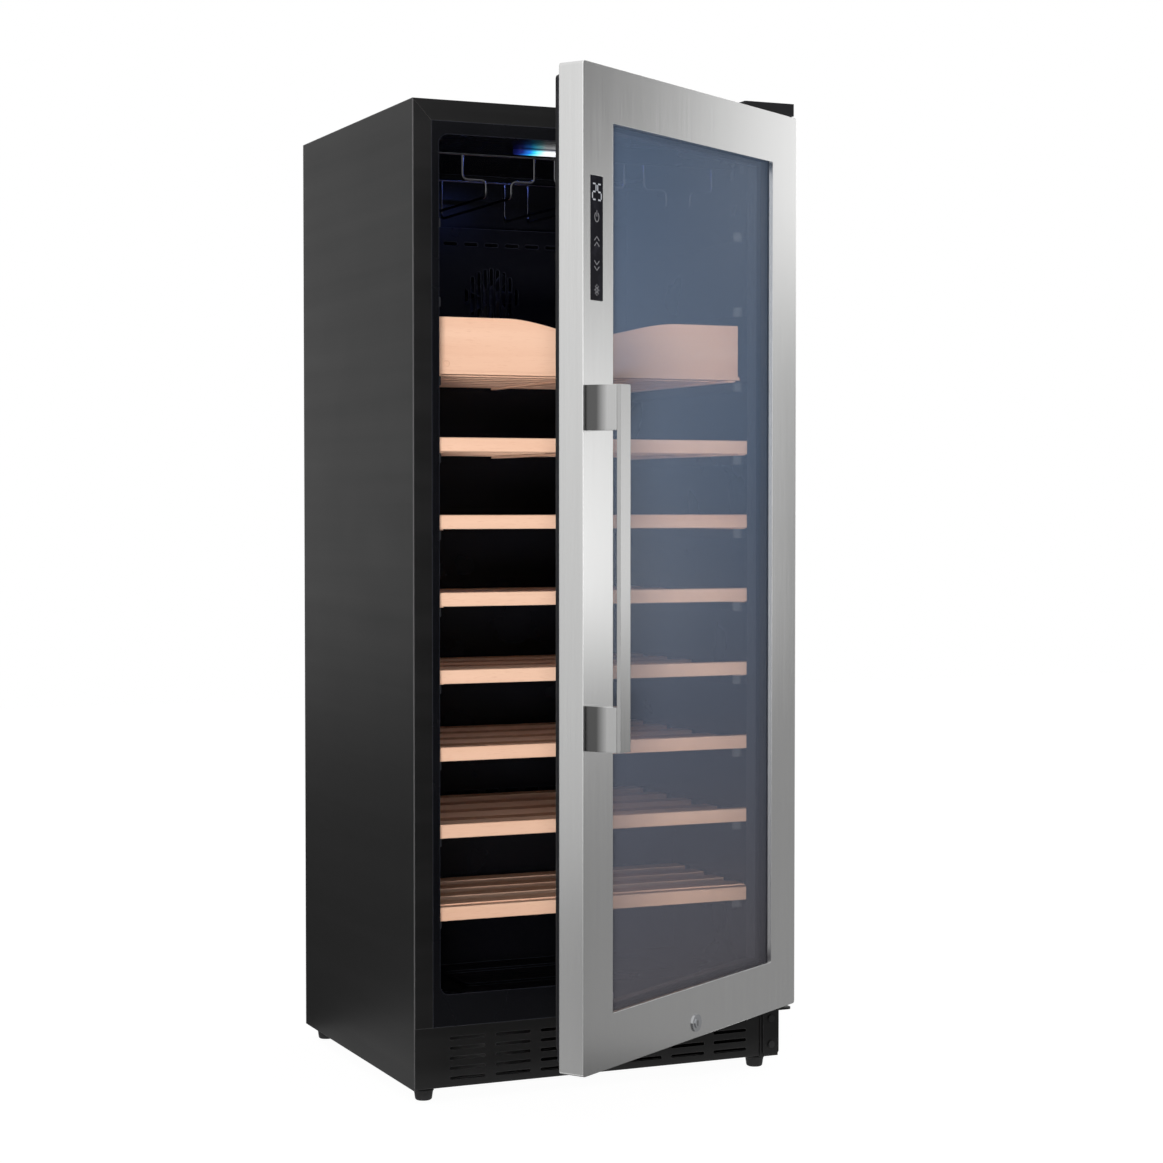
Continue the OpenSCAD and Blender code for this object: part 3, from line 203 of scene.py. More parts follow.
class CoolerFittings(PropertyGroup):
    """Sizes of the small fittings."""

    digit_height: length("Digit height", "Height of a digit on the touch panel", 21 * MM)
    digit_width: length("Digit width", "Width of a digit on the touch panel", 8.6 * MM)
    digit_stroke: length("Digit stroke", "Width of the strokes of the digits", 2.0 * MM)
    sign_width: length("Sign width", "Width of a sign on the touch panel", 12 * MM)
    sign_height: length("Sign height", "Height of a sign on the touch panel", 15 * MM)
    sign_stroke: length("Sign stroke", "Width of the strokes of the signs", 1.3 * MM)
    ledge_inset: length("Ledge inset", "Distance of the ledges' middle from the liner's side", 21.5 * MM)
    ledge_front: length("Ledge front", "Distance of the ledges' front ends from the liner's front", 42 * MM)
    plug_radius: length("Plug radius", "Radius of the wooden plugs in the tray's front board", 5 * MM)
    plug_proud: length("Plug proud", "How far the plugs stand out of the board", 0.25 * MM)


class CoolerStudio(PropertyGroup):
    """Camera, lamps and background."""

    camera_place: FloatVectorProperty(
        name="Camera place", description="Where the camera stands", default=(-1.5178, -3.6227, 0.8682),
        subtype="TRANSLATION", unit="LENGTH", size=3,
    )
    camera_yaw: FloatProperty(
        name="Camera yaw", description="Turn of the camera to the right of straight ahead",
        default=math.radians(23.812), subtype="ANGLE", unit="ROTATION",
    )
    camera_pitch: FloatProperty(
        name="Camera pitch", description="Tilt of the camera above the horizon",
        default=math.radians(-1.7657), subtype="ANGLE", unit="ROTATION",
    )
    lens: FloatProperty(
        name="Lens", description="Focal length of the camera", default=76.94, min=20.0, unit="CAMERA"
    )
    room_light: FloatProperty(
        name="Room light", description="Strength of the even light from all round", default=0.3, min=0.0
    )
    key_power: FloatProperty(
        name="Key lamp", description="Power of the low soft lamp at the front left",
        default=25.5, min=0.0, unit="POWER",
    )
    led_power: FloatProperty(
        name="Cavity lamp", description="Power of the lamp in the cavity's ceiling",
        default=0.35, min=0.0, unit="POWER",
    )


# Shader trees


class Value:
    """An output socket of a shader tree that takes part in expressions."""

    def __init__(self, tree, socket):
        self.tree = tree
        self.socket = socket

    def _math(self, operation, *terms):
        node = self.tree.nodes.new("ShaderNodeMath")
        node.operation = operation
        for entry, term in zip(node.inputs, terms):
            feed(self.tree, entry, term)
        return Value(self.tree, node.outputs[0])

    def __add__(self, other):
        return self._math("ADD", self, other)

    def __sub__(self, other):
        return self._math("SUBTRACT", self, other)

    def __rsub__(self, other):
        return self._math("SUBTRACT", other, self)

    def __mul__(self, other):
        return self._math("MULTIPLY", self, other)

    def __truediv__(self, other):
        return self._math("DIVIDE", self, other)

    def __abs__(self):
        return self._math("ABSOLUTE", self)

    __radd__ = __add__
    __rmul__ = __mul__

    def clamped(self):
        return self._math("MINIMUM", self._math("MAXIMUM", self, 0.0), 1.0)


def feed(tree, entry, value):
    """Links a Value to a node's input, or sets a plain value on it."""
    if isinstance(value, Value):
        tree.links.new(value.socket, entry)
    else:
        entry.default_value = value


class Shader:
    """A material's or world's shader tree."""

    def __init__(self, owner):
        owner.use_nodes = True
        self.tree = owner.node_tree
        self.tree.nodes.clear()

    def add(self, kind, settings=None, sockets=None, output=0):
        """A new node with its settings and sockets set, as the Value of one of its outputs."""
        node = self.tree.nodes.new(kind)
        settings = dict(settings or {})
        stops = settings.pop("stops", None)
        for name, value in settings.items():
            setattr(node, name, value)
        if stops:
            ramp = node.color_ramp.elements
            for i, (place, colour) in enumerate(stops):
                stop = ramp[i] if i < 2 else ramp.new(place)
                stop.position = place
                stop.color = (*colour, 1.0)
        for name, value in (sockets or {}).items():
            feed(self.tree, node.inputs[name], value)
        return Value(self.tree, node.outputs[output])

    def place(self, stretch=(1, 1, 1), turn=0.0):
        """Position in the piece, turned back by an angle about the door's hinge and then stretched."""
        here = self.add("ShaderNodeTexCoord", output="Object")
        if turn:
            here = self.add("ShaderNodeVectorRotate", {"rotation_type": "Z_AXIS"},
                            {"Vector": here, "Center": HINGE, "Angle": -turn})
        return self.add("ShaderNodeVectorMath", {"operation": "MULTIPLY"}, {0: here, 1: stretch})

    def axis(self, vector, axis):
        return self.add("ShaderNodeSeparateXYZ", sockets={0: vector}, output=axis)

    def noise(self, vector, scale=1.0, detail=2.0, rough=0.5):
        return self.add("ShaderNodeTexNoise", sockets={
            "Vector": vector, "Scale": scale, "Detail": detail, "Roughness": rough})

    def ramp(self, value, *stops):
        return self.add("ShaderNodeValToRGB", {"stops": stops}, {0: value})

    def between(self, value, low, high):
        """0 where value is at low or under it, 1 at high or over it."""
        return ((value - low) / (high - low)).clamped()

    def blend(self, share, first, second, way="MIX"):
        return self.add("ShaderNodeMix", {"data_type": "RGBA", "blend_type": way},
                        {0: share, 6: colour4(first), 7: colour4(second)}, output=2)

    def bump(self, height, strength, distance):
        return self.add("ShaderNodeBump", sockets={
            "Strength": strength, "Distance": distance, "Height": height})

    def soft_edge(self, radius):
        return self.add("ShaderNodeBevel", {"samples": 4}, {"Radius": radius})

    def edges(self, radius):
        """1 along sharp edges, falling to 0 a radius away from them."""
        rounded = self.add("ShaderNodeBevel", {"samples": 8}, {"Radius": radius})
        flat = self.add("ShaderNodeNewGeometry", output="Normal")
        likeness = self.add("ShaderNodeVectorMath", {"operation": "DOT_PRODUCT"}, {0: rounded, 1: flat},
                            output="Value")
        return self.between(1.0 - likeness, 0.01, 0.15)

    def corner(self, here, x, y, reach):
        """1 along the upright lines at X on either side and at Y, falling to 0 at twice the reach."""
        aside = abs(abs(self.axis(here, "X")) - x)
        inward = abs(self.axis(here, "Y") - y)
        return self.between(aside, 2 * reach, reach) * self.between(inward, 2 * reach, reach)

    def surface(self, **sockets):
        named = {name.replace("_", " "): value for name, value in sockets.items()}
        return self.add("ShaderNodeBsdfPrincipled", sockets={k: colour4(v) for k, v in named.items()})

    def output(self, shader, kind="ShaderNodeOutputMaterial"):
        node = self.tree.nodes.new(kind)
        feed(self.tree, node.inputs["Surface"], shader)


def colour4(value):
    """A colour with its alpha, and anything else as it is."""
    if hasattr(value, "__len__") and len(value) == 3:
        return (*value, 1.0)
    return value


def material(name, build, *values):
    """The material of that name, built the first time it is asked for."""
    made = bpy.data.materials.get(name)
    if made is None:
        made = bpy.data.materials.new(name)
        build(Shader(made), *values)
    return made


def build_coat(sh, colour, corner=None):
    """Satin black coat on sheet steel, with faint level bands and painted highlights along its edges. A
    corner of (X on either side, Y) is an upright edge with a stronger painted highlight."""
    here = sh.place()
    bands = sh.noise(sh.place((0.6, 0.6, 26)), detail=3.0)
    mottle = sh.noise(here, 9.0, 3.0)
    grain = sh.noise(here, 900.0, 1.0)
    shade = sh.blend(sh.between(bands, 0.42, 0.62), [c * 0.8 for c in colour], [c * 1.25 for c in colour])
    # Painted highlight: the coat lighter along its sharp edges, and more so along the given corner.
    shade = sh.blend(sh.edges(SHEET_EDGE), shade, [c * 7.0 for c in colour])
    if corner:
        shade = sh.blend(sh.corner(here, *corner, 0.9 * MM), shade, [c * 18.0 for c in colour])
    normal = sh.add("ShaderNodeBump", sockets={
        "Strength": 0.06, "Distance": 0.0002, "Height": grain, "Normal": sh.soft_edge(SHEET_EDGE)})
    sh.output(sh.surface(
        Base_Color=shade, Roughness=0.32 + 0.04 * mottle + 0.14 * bands, Specular_IOR_Level=0.3,
        Normal=normal))


def build_brushed(sh, colour, turn, along, corner=None, painted_shade=None):
    """Brushed stainless steel with its grain along one axis and painted highlights along its edges. A corner
    of (X on either side, Y) is an upright edge with a stronger painted highlight, and a painted shade of
    (dark depth, bright depth, dark share) darkens the steel over that stretch of Y."""
    fine = [1500.0] * 3
    fine[along] = 14.0
    broad = [160.0] * 3
    broad[along] = 2.2
    hair = sh.noise(sh.place(fine, turn), detail=2.0)
    streak = sh.noise(sh.place(broad, turn), detail=3.0)
    cloud = sh.noise(sh.place(), 5.0, 2.0)
    shade = sh.blend(0.6 * hair + 0.4 * streak, [c * 0.89 for c in colour], [c * 1.06 for c in colour])
    # Painted highlight: the steel lighter along its sharp edges and along the given corner.
    painted_highlight = [min(c * 1.35, 1.0) for c in colour]
    shade = sh.blend(sh.edges(1.5 * MM), shade, painted_highlight)
    if corner:
        shade = sh.blend(sh.corner(sh.place(turn=turn), *corner, 0.8 * MM), shade, painted_highlight)
    # Painted shade: the steel darkens over that stretch of depth.
    if painted_shade:
        depth = sh.axis(sh.place(turn=turn), "Y")
        shade = sh.blend(sh.between(depth, painted_shade[0], painted_shade[1]), [c * painted_shade[2] for c in colour], shade)
    normal = sh.add("ShaderNodeBump", sockets={
        "Strength": 0.10, "Distance": 0.0001, "Height": hair, "Normal": sh.soft_edge(SHEET_EDGE)})
    sh.output(sh.surface(
        Base_Color=shade, Metallic=1.0, Roughness=0.13 + 0.10 * hair + 0.03 * streak + 0.04 * cloud,
        Normal=normal))


def build_moulded(sh, colour, rough=0.42, gleam=0.4, ends=None):
    """Black moulded plastic with a fine even grain and painted highlights along its edges. Ends of (X on
    either side, Y, colour) are painted light on the front ends of the ledges on its walls."""
    here = sh.place()
    grain = sh.noise(here, 650.0, 2.0)
    worn = sh.noise(here, 7.0, 4.0)
    shade = sh.blend(worn, [c * 0.8 for c in colour], [c * 1.3 for c in colour])
    # Painted highlight: the plastic lighter along its sharp edges, and painted light on the ledges' front
    # ends.
    shade = sh.blend(sh.edges(2.0 * MM), shade, [c * 9.0 for c in colour])
    if ends:
        shade = sh.blend(sh.corner(here, ends[0], ends[1], 4.3 * MM), shade, ends[2])
    normal = sh.add("ShaderNodeBump", sockets={
        "Strength": 0.10, "Distance": 0.0002, "Height": grain, "Normal": sh.soft_edge(MOULDED_EDGE)})
    sh.output(sh.surface(
        Base_Color=shade, Roughness=rough + 0.12 * worn, Specular_IOR_Level=gleam, Normal=normal))


def build_rubber(sh, colour):
    """Soft black rubber, a little dusty."""
    here = sh.place()
    dust = sh.noise(here, 40.0, 4.0)
    shade = sh.blend(sh.between(dust, 0.45, 0.75), colour, [c * 2.4 for c in colour])
    sh.output(sh.surface(
        Base_Color=shade, Roughness=0.62 + 0.2 * dust, Specular_IOR_Level=0.35,
        Normal=sh.bump(sh.noise(here, 500.0, 2.0), 0.12, 0.0002)))


def build_beech(sh, light, dark, along=0):
    """Oiled beech: soft growth bands, and short dark flecks along the grain."""
    band_scale = [26.0] * 3
    band_scale[along] = 1.3
    fleck_scale = [900.0] * 3
    fleck_scale[along] = 70.0
    bands = sh.noise(sh.place(band_scale), detail=4.0, rough=0.6)
    flecks = sh.between(sh.noise(sh.place(fleck_scale), detail=1.0), 0.60, 0.72)
    boards = sh.noise(sh.place((0.4, 0.4, 7.3)), detail=0.0)
    ground = sh.blend(sh.between(bands, 0.32, 0.72), light, dark)
    ground = sh.blend(0.35 * sh.between(boards, 0.35, 0.65), ground, [c * 1.06 for c in light])
    shade = sh.blend(0.55 * flecks, ground, dark)
    normal = sh.add("ShaderNodeBump", sockets={
        "Strength": 0.15, "Distance": 0.0002, "Height": bands - 0.5 * flecks,
        "Normal": sh.soft_edge(WOOD_EDGE)})
    sh.output(sh.surface(
        Base_Color=shade, Roughness=0.42 + 0.16 * bands + 0.1 * flecks, Specular_IOR_Level=0.4,
        Normal=normal))


def build_glass(sh, colour, veil):
    """Tinted coated glass: a thin coloured veil over what is behind it, with clear reflections, and a
    painted reflection that turns the veil warmer and darker towards the bottom.
    """
    here = sh.place(turn=DOOR_ANGLE)
    haze = sh.noise(here, 1.6, 2.0)
    smears = sh.noise(sh.place((3, 3, 0.8), DOOR_ANGLE), 2.0, 4.0)
    height = sh.axis(here, "Z")
    # Painted reflection: the veil turns warmer and darker towards the bottom of the pane.
    lower_painted_reflection = [colour[0] * 1.08, colour[1] * 0.71, colour[2] * 0.53]
    shade = sh.blend(sh.between(height, 0.15, 0.95), lower_painted_reflection, colour)
    sh.output(sh.surface(
        Base_Color=shade, Roughness=0.03 + 0.02 * sh.between(smears, 0.5, 0.8), IOR=1.5,
        Alpha=veil + 0.05 * haze))


def build_chrome(sh, colour):
    """Bright plated wire and fittings with light rubbing."""
    rub = sh.noise(sh.place(), 60.0, 3.0)
    shade = sh.blend(rub, [c * 0.85 for c in colour], colour)
    sh.output(sh.surface(Base_Color=shade, Metallic=1.0, Roughness=0.10 + 0.16 * rub))


def build_zinc(sh, colour):
    """Galvanised steel with its spangle."""
    spangle = sh.add("ShaderNodeTexVoronoi", {"feature": "F1"},
                     {"Vector": sh.place(), "Scale": 130.0}, output="Color")
    cloud = sh.noise(sh.place(), 20.0, 3.0)
    tint = sh.blend(0.25, colour, spangle, "MULTIPLY")
    shade = sh.blend(cloud, tint, [c * 0.9 for c in colour])
    sh.output(sh.surface(Base_Color=shade, Metallic=1.0, Roughness=0.34 + 0.22 * cloud))


def build_gloss_panel(sh, colour):
    """Black acrylic with a deep gloss and faint finger marks."""
    prints = sh.between(sh.noise(sh.place(), 55.0, 4.0), 0.52, 0.75)
    shade = sh.blend(prints, colour, [c * 2.0 for c in colour])
    sh.output(sh.surface(Base_Color=shade, Roughness=0.06 + 0.22 * prints, Specular_IOR_Level=0.03))


def build_marks(sh, colour):
    """Lit marks under the touch panel's face, a little uneven."""
    flicker = sh.noise(sh.place(), 400.0, 1.0)
    shade = sh.blend(flicker, [c * 0.75 for c in colour], colour)
    sh.output(sh.surface(
        Base_Color=shade, Roughness=0.35, Emission_Color=shade, Emission_Strength=0.55))


def build_lamp(sh, core, edge, low, high):
    """Lit diffuser: white in the middle, cyan and then blue towards its ends and its rim."""
    here = sh.place()
    along = abs(sh.axis(here, "X") - (low.x + high.x) / 2) / ((high.x - low.x) / 2)
    glow = sh.ramp(along, (0.0, core), (0.34, core), (0.46, (0.35, 0.9, 0.95)), (0.60, (0.03, 0.55, 0.85)),
                   (0.70, (0.015, 0.16, 0.6)), (0.86, (0.006, 0.012, 0.13)), (1.0, edge))
    rim = sh.between(sh.axis(here, "Z"), 0.7 * low.z + 0.3 * high.z, high.z)
    shade = sh.blend(rim, glow, edge)
    lens = sh.noise(here, 300.0, 1.0)
    sh.output(sh.surface(
        Base_Color=shade, Roughness=0.25 + 0.2 * lens, Emission_Color=shade, Emission_Strength=1.0))


def build_foam(sh, colour):
    """Rigid foam with its open cells."""
    cells = sh.add("ShaderNodeTexVoronoi", {"feature": "F1"}, {"Vector": sh.place(), "Scale": 500.0})
    shade = sh.blend(cells, [c * 0.8 for c in colour], colour)
    sh.output(sh.surface(Base_Color=shade, Roughness=0.9, Normal=sh.bump(cells, 0.3, 0.0005)))


def build_plain_plastic(sh, colour):
    """Smooth pale plastic with slight flow marks."""
    flow = sh.noise(sh.place((30, 30, 6)), detail=3.0)
    shade = sh.blend(flow, [c * 0.88 for c in colour], colour)
    sh.output(sh.surface(Base_Color=shade, Roughness=0.38 + 0.15 * flow))


def build_board(sh, colour):
    """Green circuit board with copper lines under its lacquer."""
    lines = sh.add("ShaderNodeTexBrick", {"offset": 0.5}, {
        "Vector": sh.place(turn=DOOR_ANGLE), "Scale": 90.0, "Color1": colour4(colour),
        "Color2": colour4([c * 1.3 for c in colour]), "Mortar": BOARD_COPPER, "Mortar Size": 0.03})
    sh.output(sh.surface(Base_Color=lines, Roughness=0.3))


def build_metal(sh, colour, rough):
    """Plain drawn metal with a slight tarnish."""
    tarnish = sh.noise(sh.place(), 30.0, 4.0)
    shade = sh.blend(tarnish, [c * 0.7 for c in colour], colour)
    sh.output(sh.surface(Base_Color=shade, Metallic=1.0, Roughness=rough + 0.2 * tarnish))


# The cooler's materials


def coat(context):
    return material("satin_black_coat", build_coat, context.scene.cooler_finishes.coat)


def plastic(context):
    return material("black_moulded_plastic", build_moulded, context.scene.cooler_finishes.plastic)


def rubber():
    return material("black_rubber", build_rubber, RUBBER)


def beech(context):
    finishes = context.scene.cooler_finishes
    return material("oiled_beech", build_beech, finishes.wood_light, finishes.wood_dark)


def zinc():
    return material("galvanised_steel", build_zinc, ZINC)


def chrome():
    return material("chrome_plate", build_chrome, CHROME)


def pale_plastic():
    return material("natural_plastic", build_plain_plastic, PALE_PLASTIC)


def dress(names, finish):
    """Gives CAD nodes a material."""
    for name in names.split():
        mesh = NODES[name].data
        mesh.materials.clear()
        mesh.materials.append(finish)


# Meshes of the small fittings


def piece(name, mesh_data, finish, body):
    """A new piece of the cooler from a bmesh, riding on one of its bodies."""
    bmesh.ops.recalc_face_normals(mesh_data, faces=mesh_data.faces)
    mesh = bpy.data.meshes.new(name)
    mesh_data.to_mesh(mesh)
    mesh_data.free()
    mesh.materials.append(finish)
    obj = bpy.data.objects.new(name, mesh)
    bpy.context.scene.collection.objects.link(obj)
    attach(obj, body)


def add_prism(mesh_data, outline, front, back):
    """A flat shape in X and Z, drawn out from front to back along Y."""
    faces = []
    for y in (front, back):
        faces.append(mesh_data.faces.new([mesh_data.verts.new((x, y, z)) for x, z in outline]))
    near, far = (list(face.verts) for face in faces)
    for i in range(len(outline)):
        j = (i + 1) % len(outline)
        mesh_data.faces.new((near[i], near[j], far[j], far[i]))


def stroke_outline(points, width):
    """The outline of a stroke of even width along points, which lie in X and Z."""
    sides = [[], []]
    for i, point in enumerate(points):
        before, after = points[max(i - 1, 0)], points[min(i + 1, len(points) - 1)]
        along = (Vector(after) - Vector(before)).normalized() * width / 2
        sides[0].append((point[0] - along[1], point[1] + along[0]))
        sides[1].append((point[0] + along[1], point[1] - along[0]))
    return sides[0] + sides[1][::-1]


def arc(centre, radius, start, end, steps=24):
    turn = [math.radians(start + (end - start) * i / steps) for i in range(steps + 1)]
    return [(centre[0] + radius * math.cos(a), centre[1] + radius * math.sin(a)) for a in turn]


def digit_strokes(lit, centre, width, height, gap):
    """The lit bars of one digit, as (start, end) pairs. lit names them a to g."""
    x0, x1 = centre[0] - width / 2, centre[0] + width / 2
    z0, z1, z2 = centre[1] - height / 2, centre[1], centre[1] + height / 2
    bars = {
        "a": ((x0 + gap, z2), (x1 - gap, z2)), "b": ((x1, z2 - gap), (x1, z1 + gap)),
        "c": ((x1, z1 - gap), (x1, z0 + gap)), "d": ((x0 + gap, z0), (x1 - gap, z0)),
        "e": ((x0, z1 - gap), (x0, z0 + gap)), "f": ((x0, z2 - gap), (x0, z1 + gap)),
        "g": ((x0 + gap, z1), (x1 - gap, z1)),
    }
    return [bars[name] for name in lit]


def sign_strokes(kind, centre, width, height):
    """The strokes of one sign of the touch panel."""
    def at(across, up):
        return centre[0] + across * width / 2, centre[1] + up * height / 2

    if kind == "power":
        ring = [at(x, z - 0.15) for x, z in arc((0, 0), 0.85, 125, 415)]
        return [ring, [at(0, -0.1), at(0, 1)]]
    if kind in ("up", "down"):
        rise = 1 if kind == "up" else -1
        return [[at(-1, 0.5 * shift * rise - 0.35 * rise), at(0, 0.5 * shift * rise + 0.35 * rise),
                 at(1, 0.5 * shift * rise - 0.35 * rise)] for shift in (-1, 1)]
    rays = [[at(reach * math.cos(a), reach * math.sin(a)) for reach in (0.68, 1.0)]
            for a in (i * math.pi / 4 for i in range(8))]
    return [[at(x, z) for x, z in arc((0, 0), 0.42, 0, 360)]] + rays


# Operators


class DressOperator:
    """What the cooler's operators share."""

    bl_options = {"REGISTER", "UNDO"}


class WINECOOLER_OT_cabinet(DressOperator, Operator):
    """Coat the cabinet, its kick plate and its feet"""

    bl_idname = "winecooler.cabinet"
    bl_label = "Cabinet"

    def execute(self, context):
        low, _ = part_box("side_panel_left")
        _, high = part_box("side_panel_right")
        # The sides get a painted highlight along their front upright corners.
        dress("side_panel_left side_panel_right",
              material("satin_black_sides", build_coat, context.scene.cooler_finishes.coat,
                       (high.x, low.y)))
        dress("top_panel rear_panel base_pan kick_plate rear_grille", coat(context))
        dress("foot_front_left foot_front_right foot_rear_left foot_rear_right", rubber())
        dress("strike_plate machine_deck", zinc())
        dress("insulation", material("rigid_foam", build_foam, FOAM))
        return {"FINISHED"}


class WINECOOLER_OT_cavity(DressOperator, Operator):
    """Finish the cavity's liner and duct, and light its lamp"""

    bl_idname = "winecooler.cavity"
    bl_label = "Cavity and lamp"

    def execute(self, context):
        finishes = context.scene.cooler_finishes
        sizes = context.scene.cooler_fittings
        dress("duct_panel hanger_clips",
              material("glossy_black_duct", build_moulded, finishes.plastic, 0.2, 0.2))
        low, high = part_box("inner_liner")
        # The liner gets painted light on the front ends of its ledges.
        ends = (high.x - sizes.ledge_inset, low.y + sizes.ledge_front, finishes.ledge_end_light)
        dress("inner_liner",
              material("glossy_black_liner", build_moulded, finishes.plastic, 0.2, 0.2, ends))
        dress("lamp_lens", material("lamp_diffuser", build_lamp, finishes.lamp_core, finishes.lamp_edge,
                                    *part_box("lamp_lens")))
        dress("glass_hanger", material("dark_plated_wire", build_chrome, DARK_WIRE))
        return {"FINISHED"}


class WINECOOLER_OT_cooling(DressOperator, Operator):
    """Finish the cooling parts behind the cavity and in the machine compartment"""

    bl_idname = "winecooler.cooling"
    bl_label = "Cooling parts"

    def execute(self, context):
        dress("compressor condenser_shroud", coat(context))
        dress("compressor_mounts cord_gland", rubber())
        dress("condenser_coil", material("copper_tube", build_metal, COPPER, 0.25))
        dress("evaporator", material("plain_aluminium", build_metal, ALUMINIUM, 0.3))
        dress("condenser_fan duct_fan duct_fan_motor drip_tray control_box", plastic(context))
        dress("drain_tube", pale_plastic())
        return {"FINISHED"}


class WINECOOLER_OT_woodwork(DressOperator, Operator):
    """Finish the beech shelves and tray, and plug the tray's screw holes"""

    bl_idname = "winecooler.woodwork"
    bl_label = "Shelves and tray"

    def execute(self, context):
        sizes = context.scene.cooler_fittings
        dress("shelf_1 shelf_2 shelf_3 shelf_4 shelf_5 shelf_6 display_shelf tray_front_board tray_deck",
              beech(context))
        low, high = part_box("tray_front_board")
        middle, reach = (low.x + high.x) / 2, (high.x - low.x) / 2 - PLUG_INSET
        rounded = sizes.plug_radius - sizes.plug_proud
        plugs = bmesh.new()
        for side in (-1, 1):
            centre = (middle + side * reach, low.z + PLUG_RISE)
            add_prism(plugs, arc(centre, sizes.plug_radius, *PLUG_ARC),
                      low.y - sizes.plug_proud / 2, low.y + MM)
            add_prism(plugs, arc(centre, rounded, *PLUG_ARC), low.y - sizes.plug_proud, low.y)
        finishes = context.scene.cooler_finishes
        piece("tray_plugs", plugs,
              material("beech_end_grain", build_beech, finishes.wood_dark, finishes.wood_light, ALONG_Y),
              "glass_tray")
        return {"FINISHED"}


class WINECOOLER_OT_door(DressOperator, Operator):
    """Finish the door's steel frame, inner frame, gasket and glass"""

    bl_idname = "winecooler.door"
    bl_label = "Door"

    def execute(self, context):
        glass = context.scene.cooler_finishes.glass
        steel = context.scene.cooler_finishes.steel
        low, high = closed_box("door_skin")
        # The door's steel gets a painted highlight along its front upright corners.
        dress("door_skin", material("brushed_steel_door", build_brushed, steel, DOOR_ANGLE, ALONG_Z,
                                    (high.x, low.y)))
        dress("door_core door_liner", plastic(context))
        dress("door_gasket", rubber())
        dress("outer_pane", material("tinted_glass_outer", build_glass, glass, OUTER_VEIL))
        dress("inner_pane", material("tinted_glass_inner", build_glass, glass, INNER_VEIL))
        for name in ("outer_pane", "inner_pane"):
            NODES[name].visible_shadow = False
            NODES[name].visible_diffuse = False
        dress("pane_spacer", material("black_spacer", build_metal, SPACER_BLACK, 0.4))
        return {"FINISHED"}


class WINECOOLER_OT_handle(DressOperator, Operator):
    """Finish the handle's bar, posts and bolts"""

    bl_idname = "winecooler.handle"
    bl_label = "Handle"

    def execute(self, context):
        steel = context.scene.cooler_finishes.steel
        # Painted shade: the bar and posts darker than the door's steel, and the posts darker still towards
        # the door.
        low, high = closed_box("handle_posts")
        depth = high.y - low.y
        painted_shade = (high.y - POST_PAINTED_SHADE[0] * depth, high.y - POST_PAINTED_SHADE[1] * depth, POST_PAINTED_SHADE[2])
        dress("handle_bar", material("brushed_steel_bar", build_brushed,
                                     [c * BAR_SHADE_SHARE for c in steel], DOOR_ANGLE, ALONG_Z))
        dress("handle_posts", material("brushed_steel_posts", build_brushed,
                                       [c * POST_SHADE_SHARE for c in steel], DOOR_ANGLE, ALONG_Z, None, painted_shade))
        dress("handle_bolts", zinc())
        return {"FINISHED"}


class WINECOOLER_OT_touch_panel(DressOperator, Operator):
    """Finish the touch panel and light its digits and signs"""

    bl_idname = "winecooler.touch_panel"
    bl_label = "Touch panel"

    def execute(self, context):
        sizes = context.scene.cooler_fittings
        finishes = context.scene.cooler_finishes
        dress("touch_panel", material("gloss_black_panel", build_gloss_panel, PANEL_BLACK))
        dress("display_board", material("circuit_board", build_board, BOARD_GREEN))
        low, high = closed_box("touch_panel")
        middle, span = (low.x + high.x) / 2, high.z - low.z
        digits = []
        for side, lit in DIGITS:
            centre = (middle + side * DIGIT_SPACING, high.z - DIGITS_DROP * span)
            digits += digit_strokes(lit, centre, sizes.digit_width, sizes.digit_height, DIGIT_GAP)
        self.marks("panel_digits", digits, sizes.digit_stroke, low.y,
                   material("lit_digits", build_marks, finishes.digits))
        signs = []
        for kind, drop in SIGNS:
            signs += sign_strokes(kind, (middle, high.z - drop * span), sizes.sign_width,
                                  sizes.sign_height)
        self.marks("panel_signs", signs, sizes.sign_stroke, low.y,
                   material("lit_signs", build_marks, finishes.signs))
        return {"FINISHED"}

    def marks(self, name, strokes, width, face, finish):
        """Strokes drawn on the panel's face, in one piece."""
        shape = bmesh.new()
        for points in strokes:
            add_prism(shape, stroke_outline(points, width), face - MARK_PROUD, face + MARK_DEPTH)
        shape.transform(DOOR_PLACE)
        piece(name, shape, finish, "door")


class WINECOOLER_OT_lock(DressOperator, Operator):
    """Finish the lock's housing and barrel"""

    bl_idname = "winecooler.lock"
    bl_label = "Lock"

    def execute(self, context):
        dress("lock_housing lock_barrel", chrome())
        return {"FINISHED"}


class WINECOOLER_OT_hinges(DressOperator, Operator):
    """Finish the hinges, their cover and their screws"""

    bl_idname = "winecooler.hinges"
    bl_label = "Hinges"

    def execute(self, context):
        dress("lower_hinge_bracket", coat(context))
        dress("hinge_screws", material("blackened_screws", build_metal, SCREW_BLACK, 0.35))
        dress("hinge_cover", plastic(context))
        dress("upper_hinge_bracket", zinc())
        dress("hinge_pins", material("ground_steel", build_metal, GROUND_STEEL, 0.2))
        dress("hinge_bushes", pale_plastic())
        return {"FINISHED"}


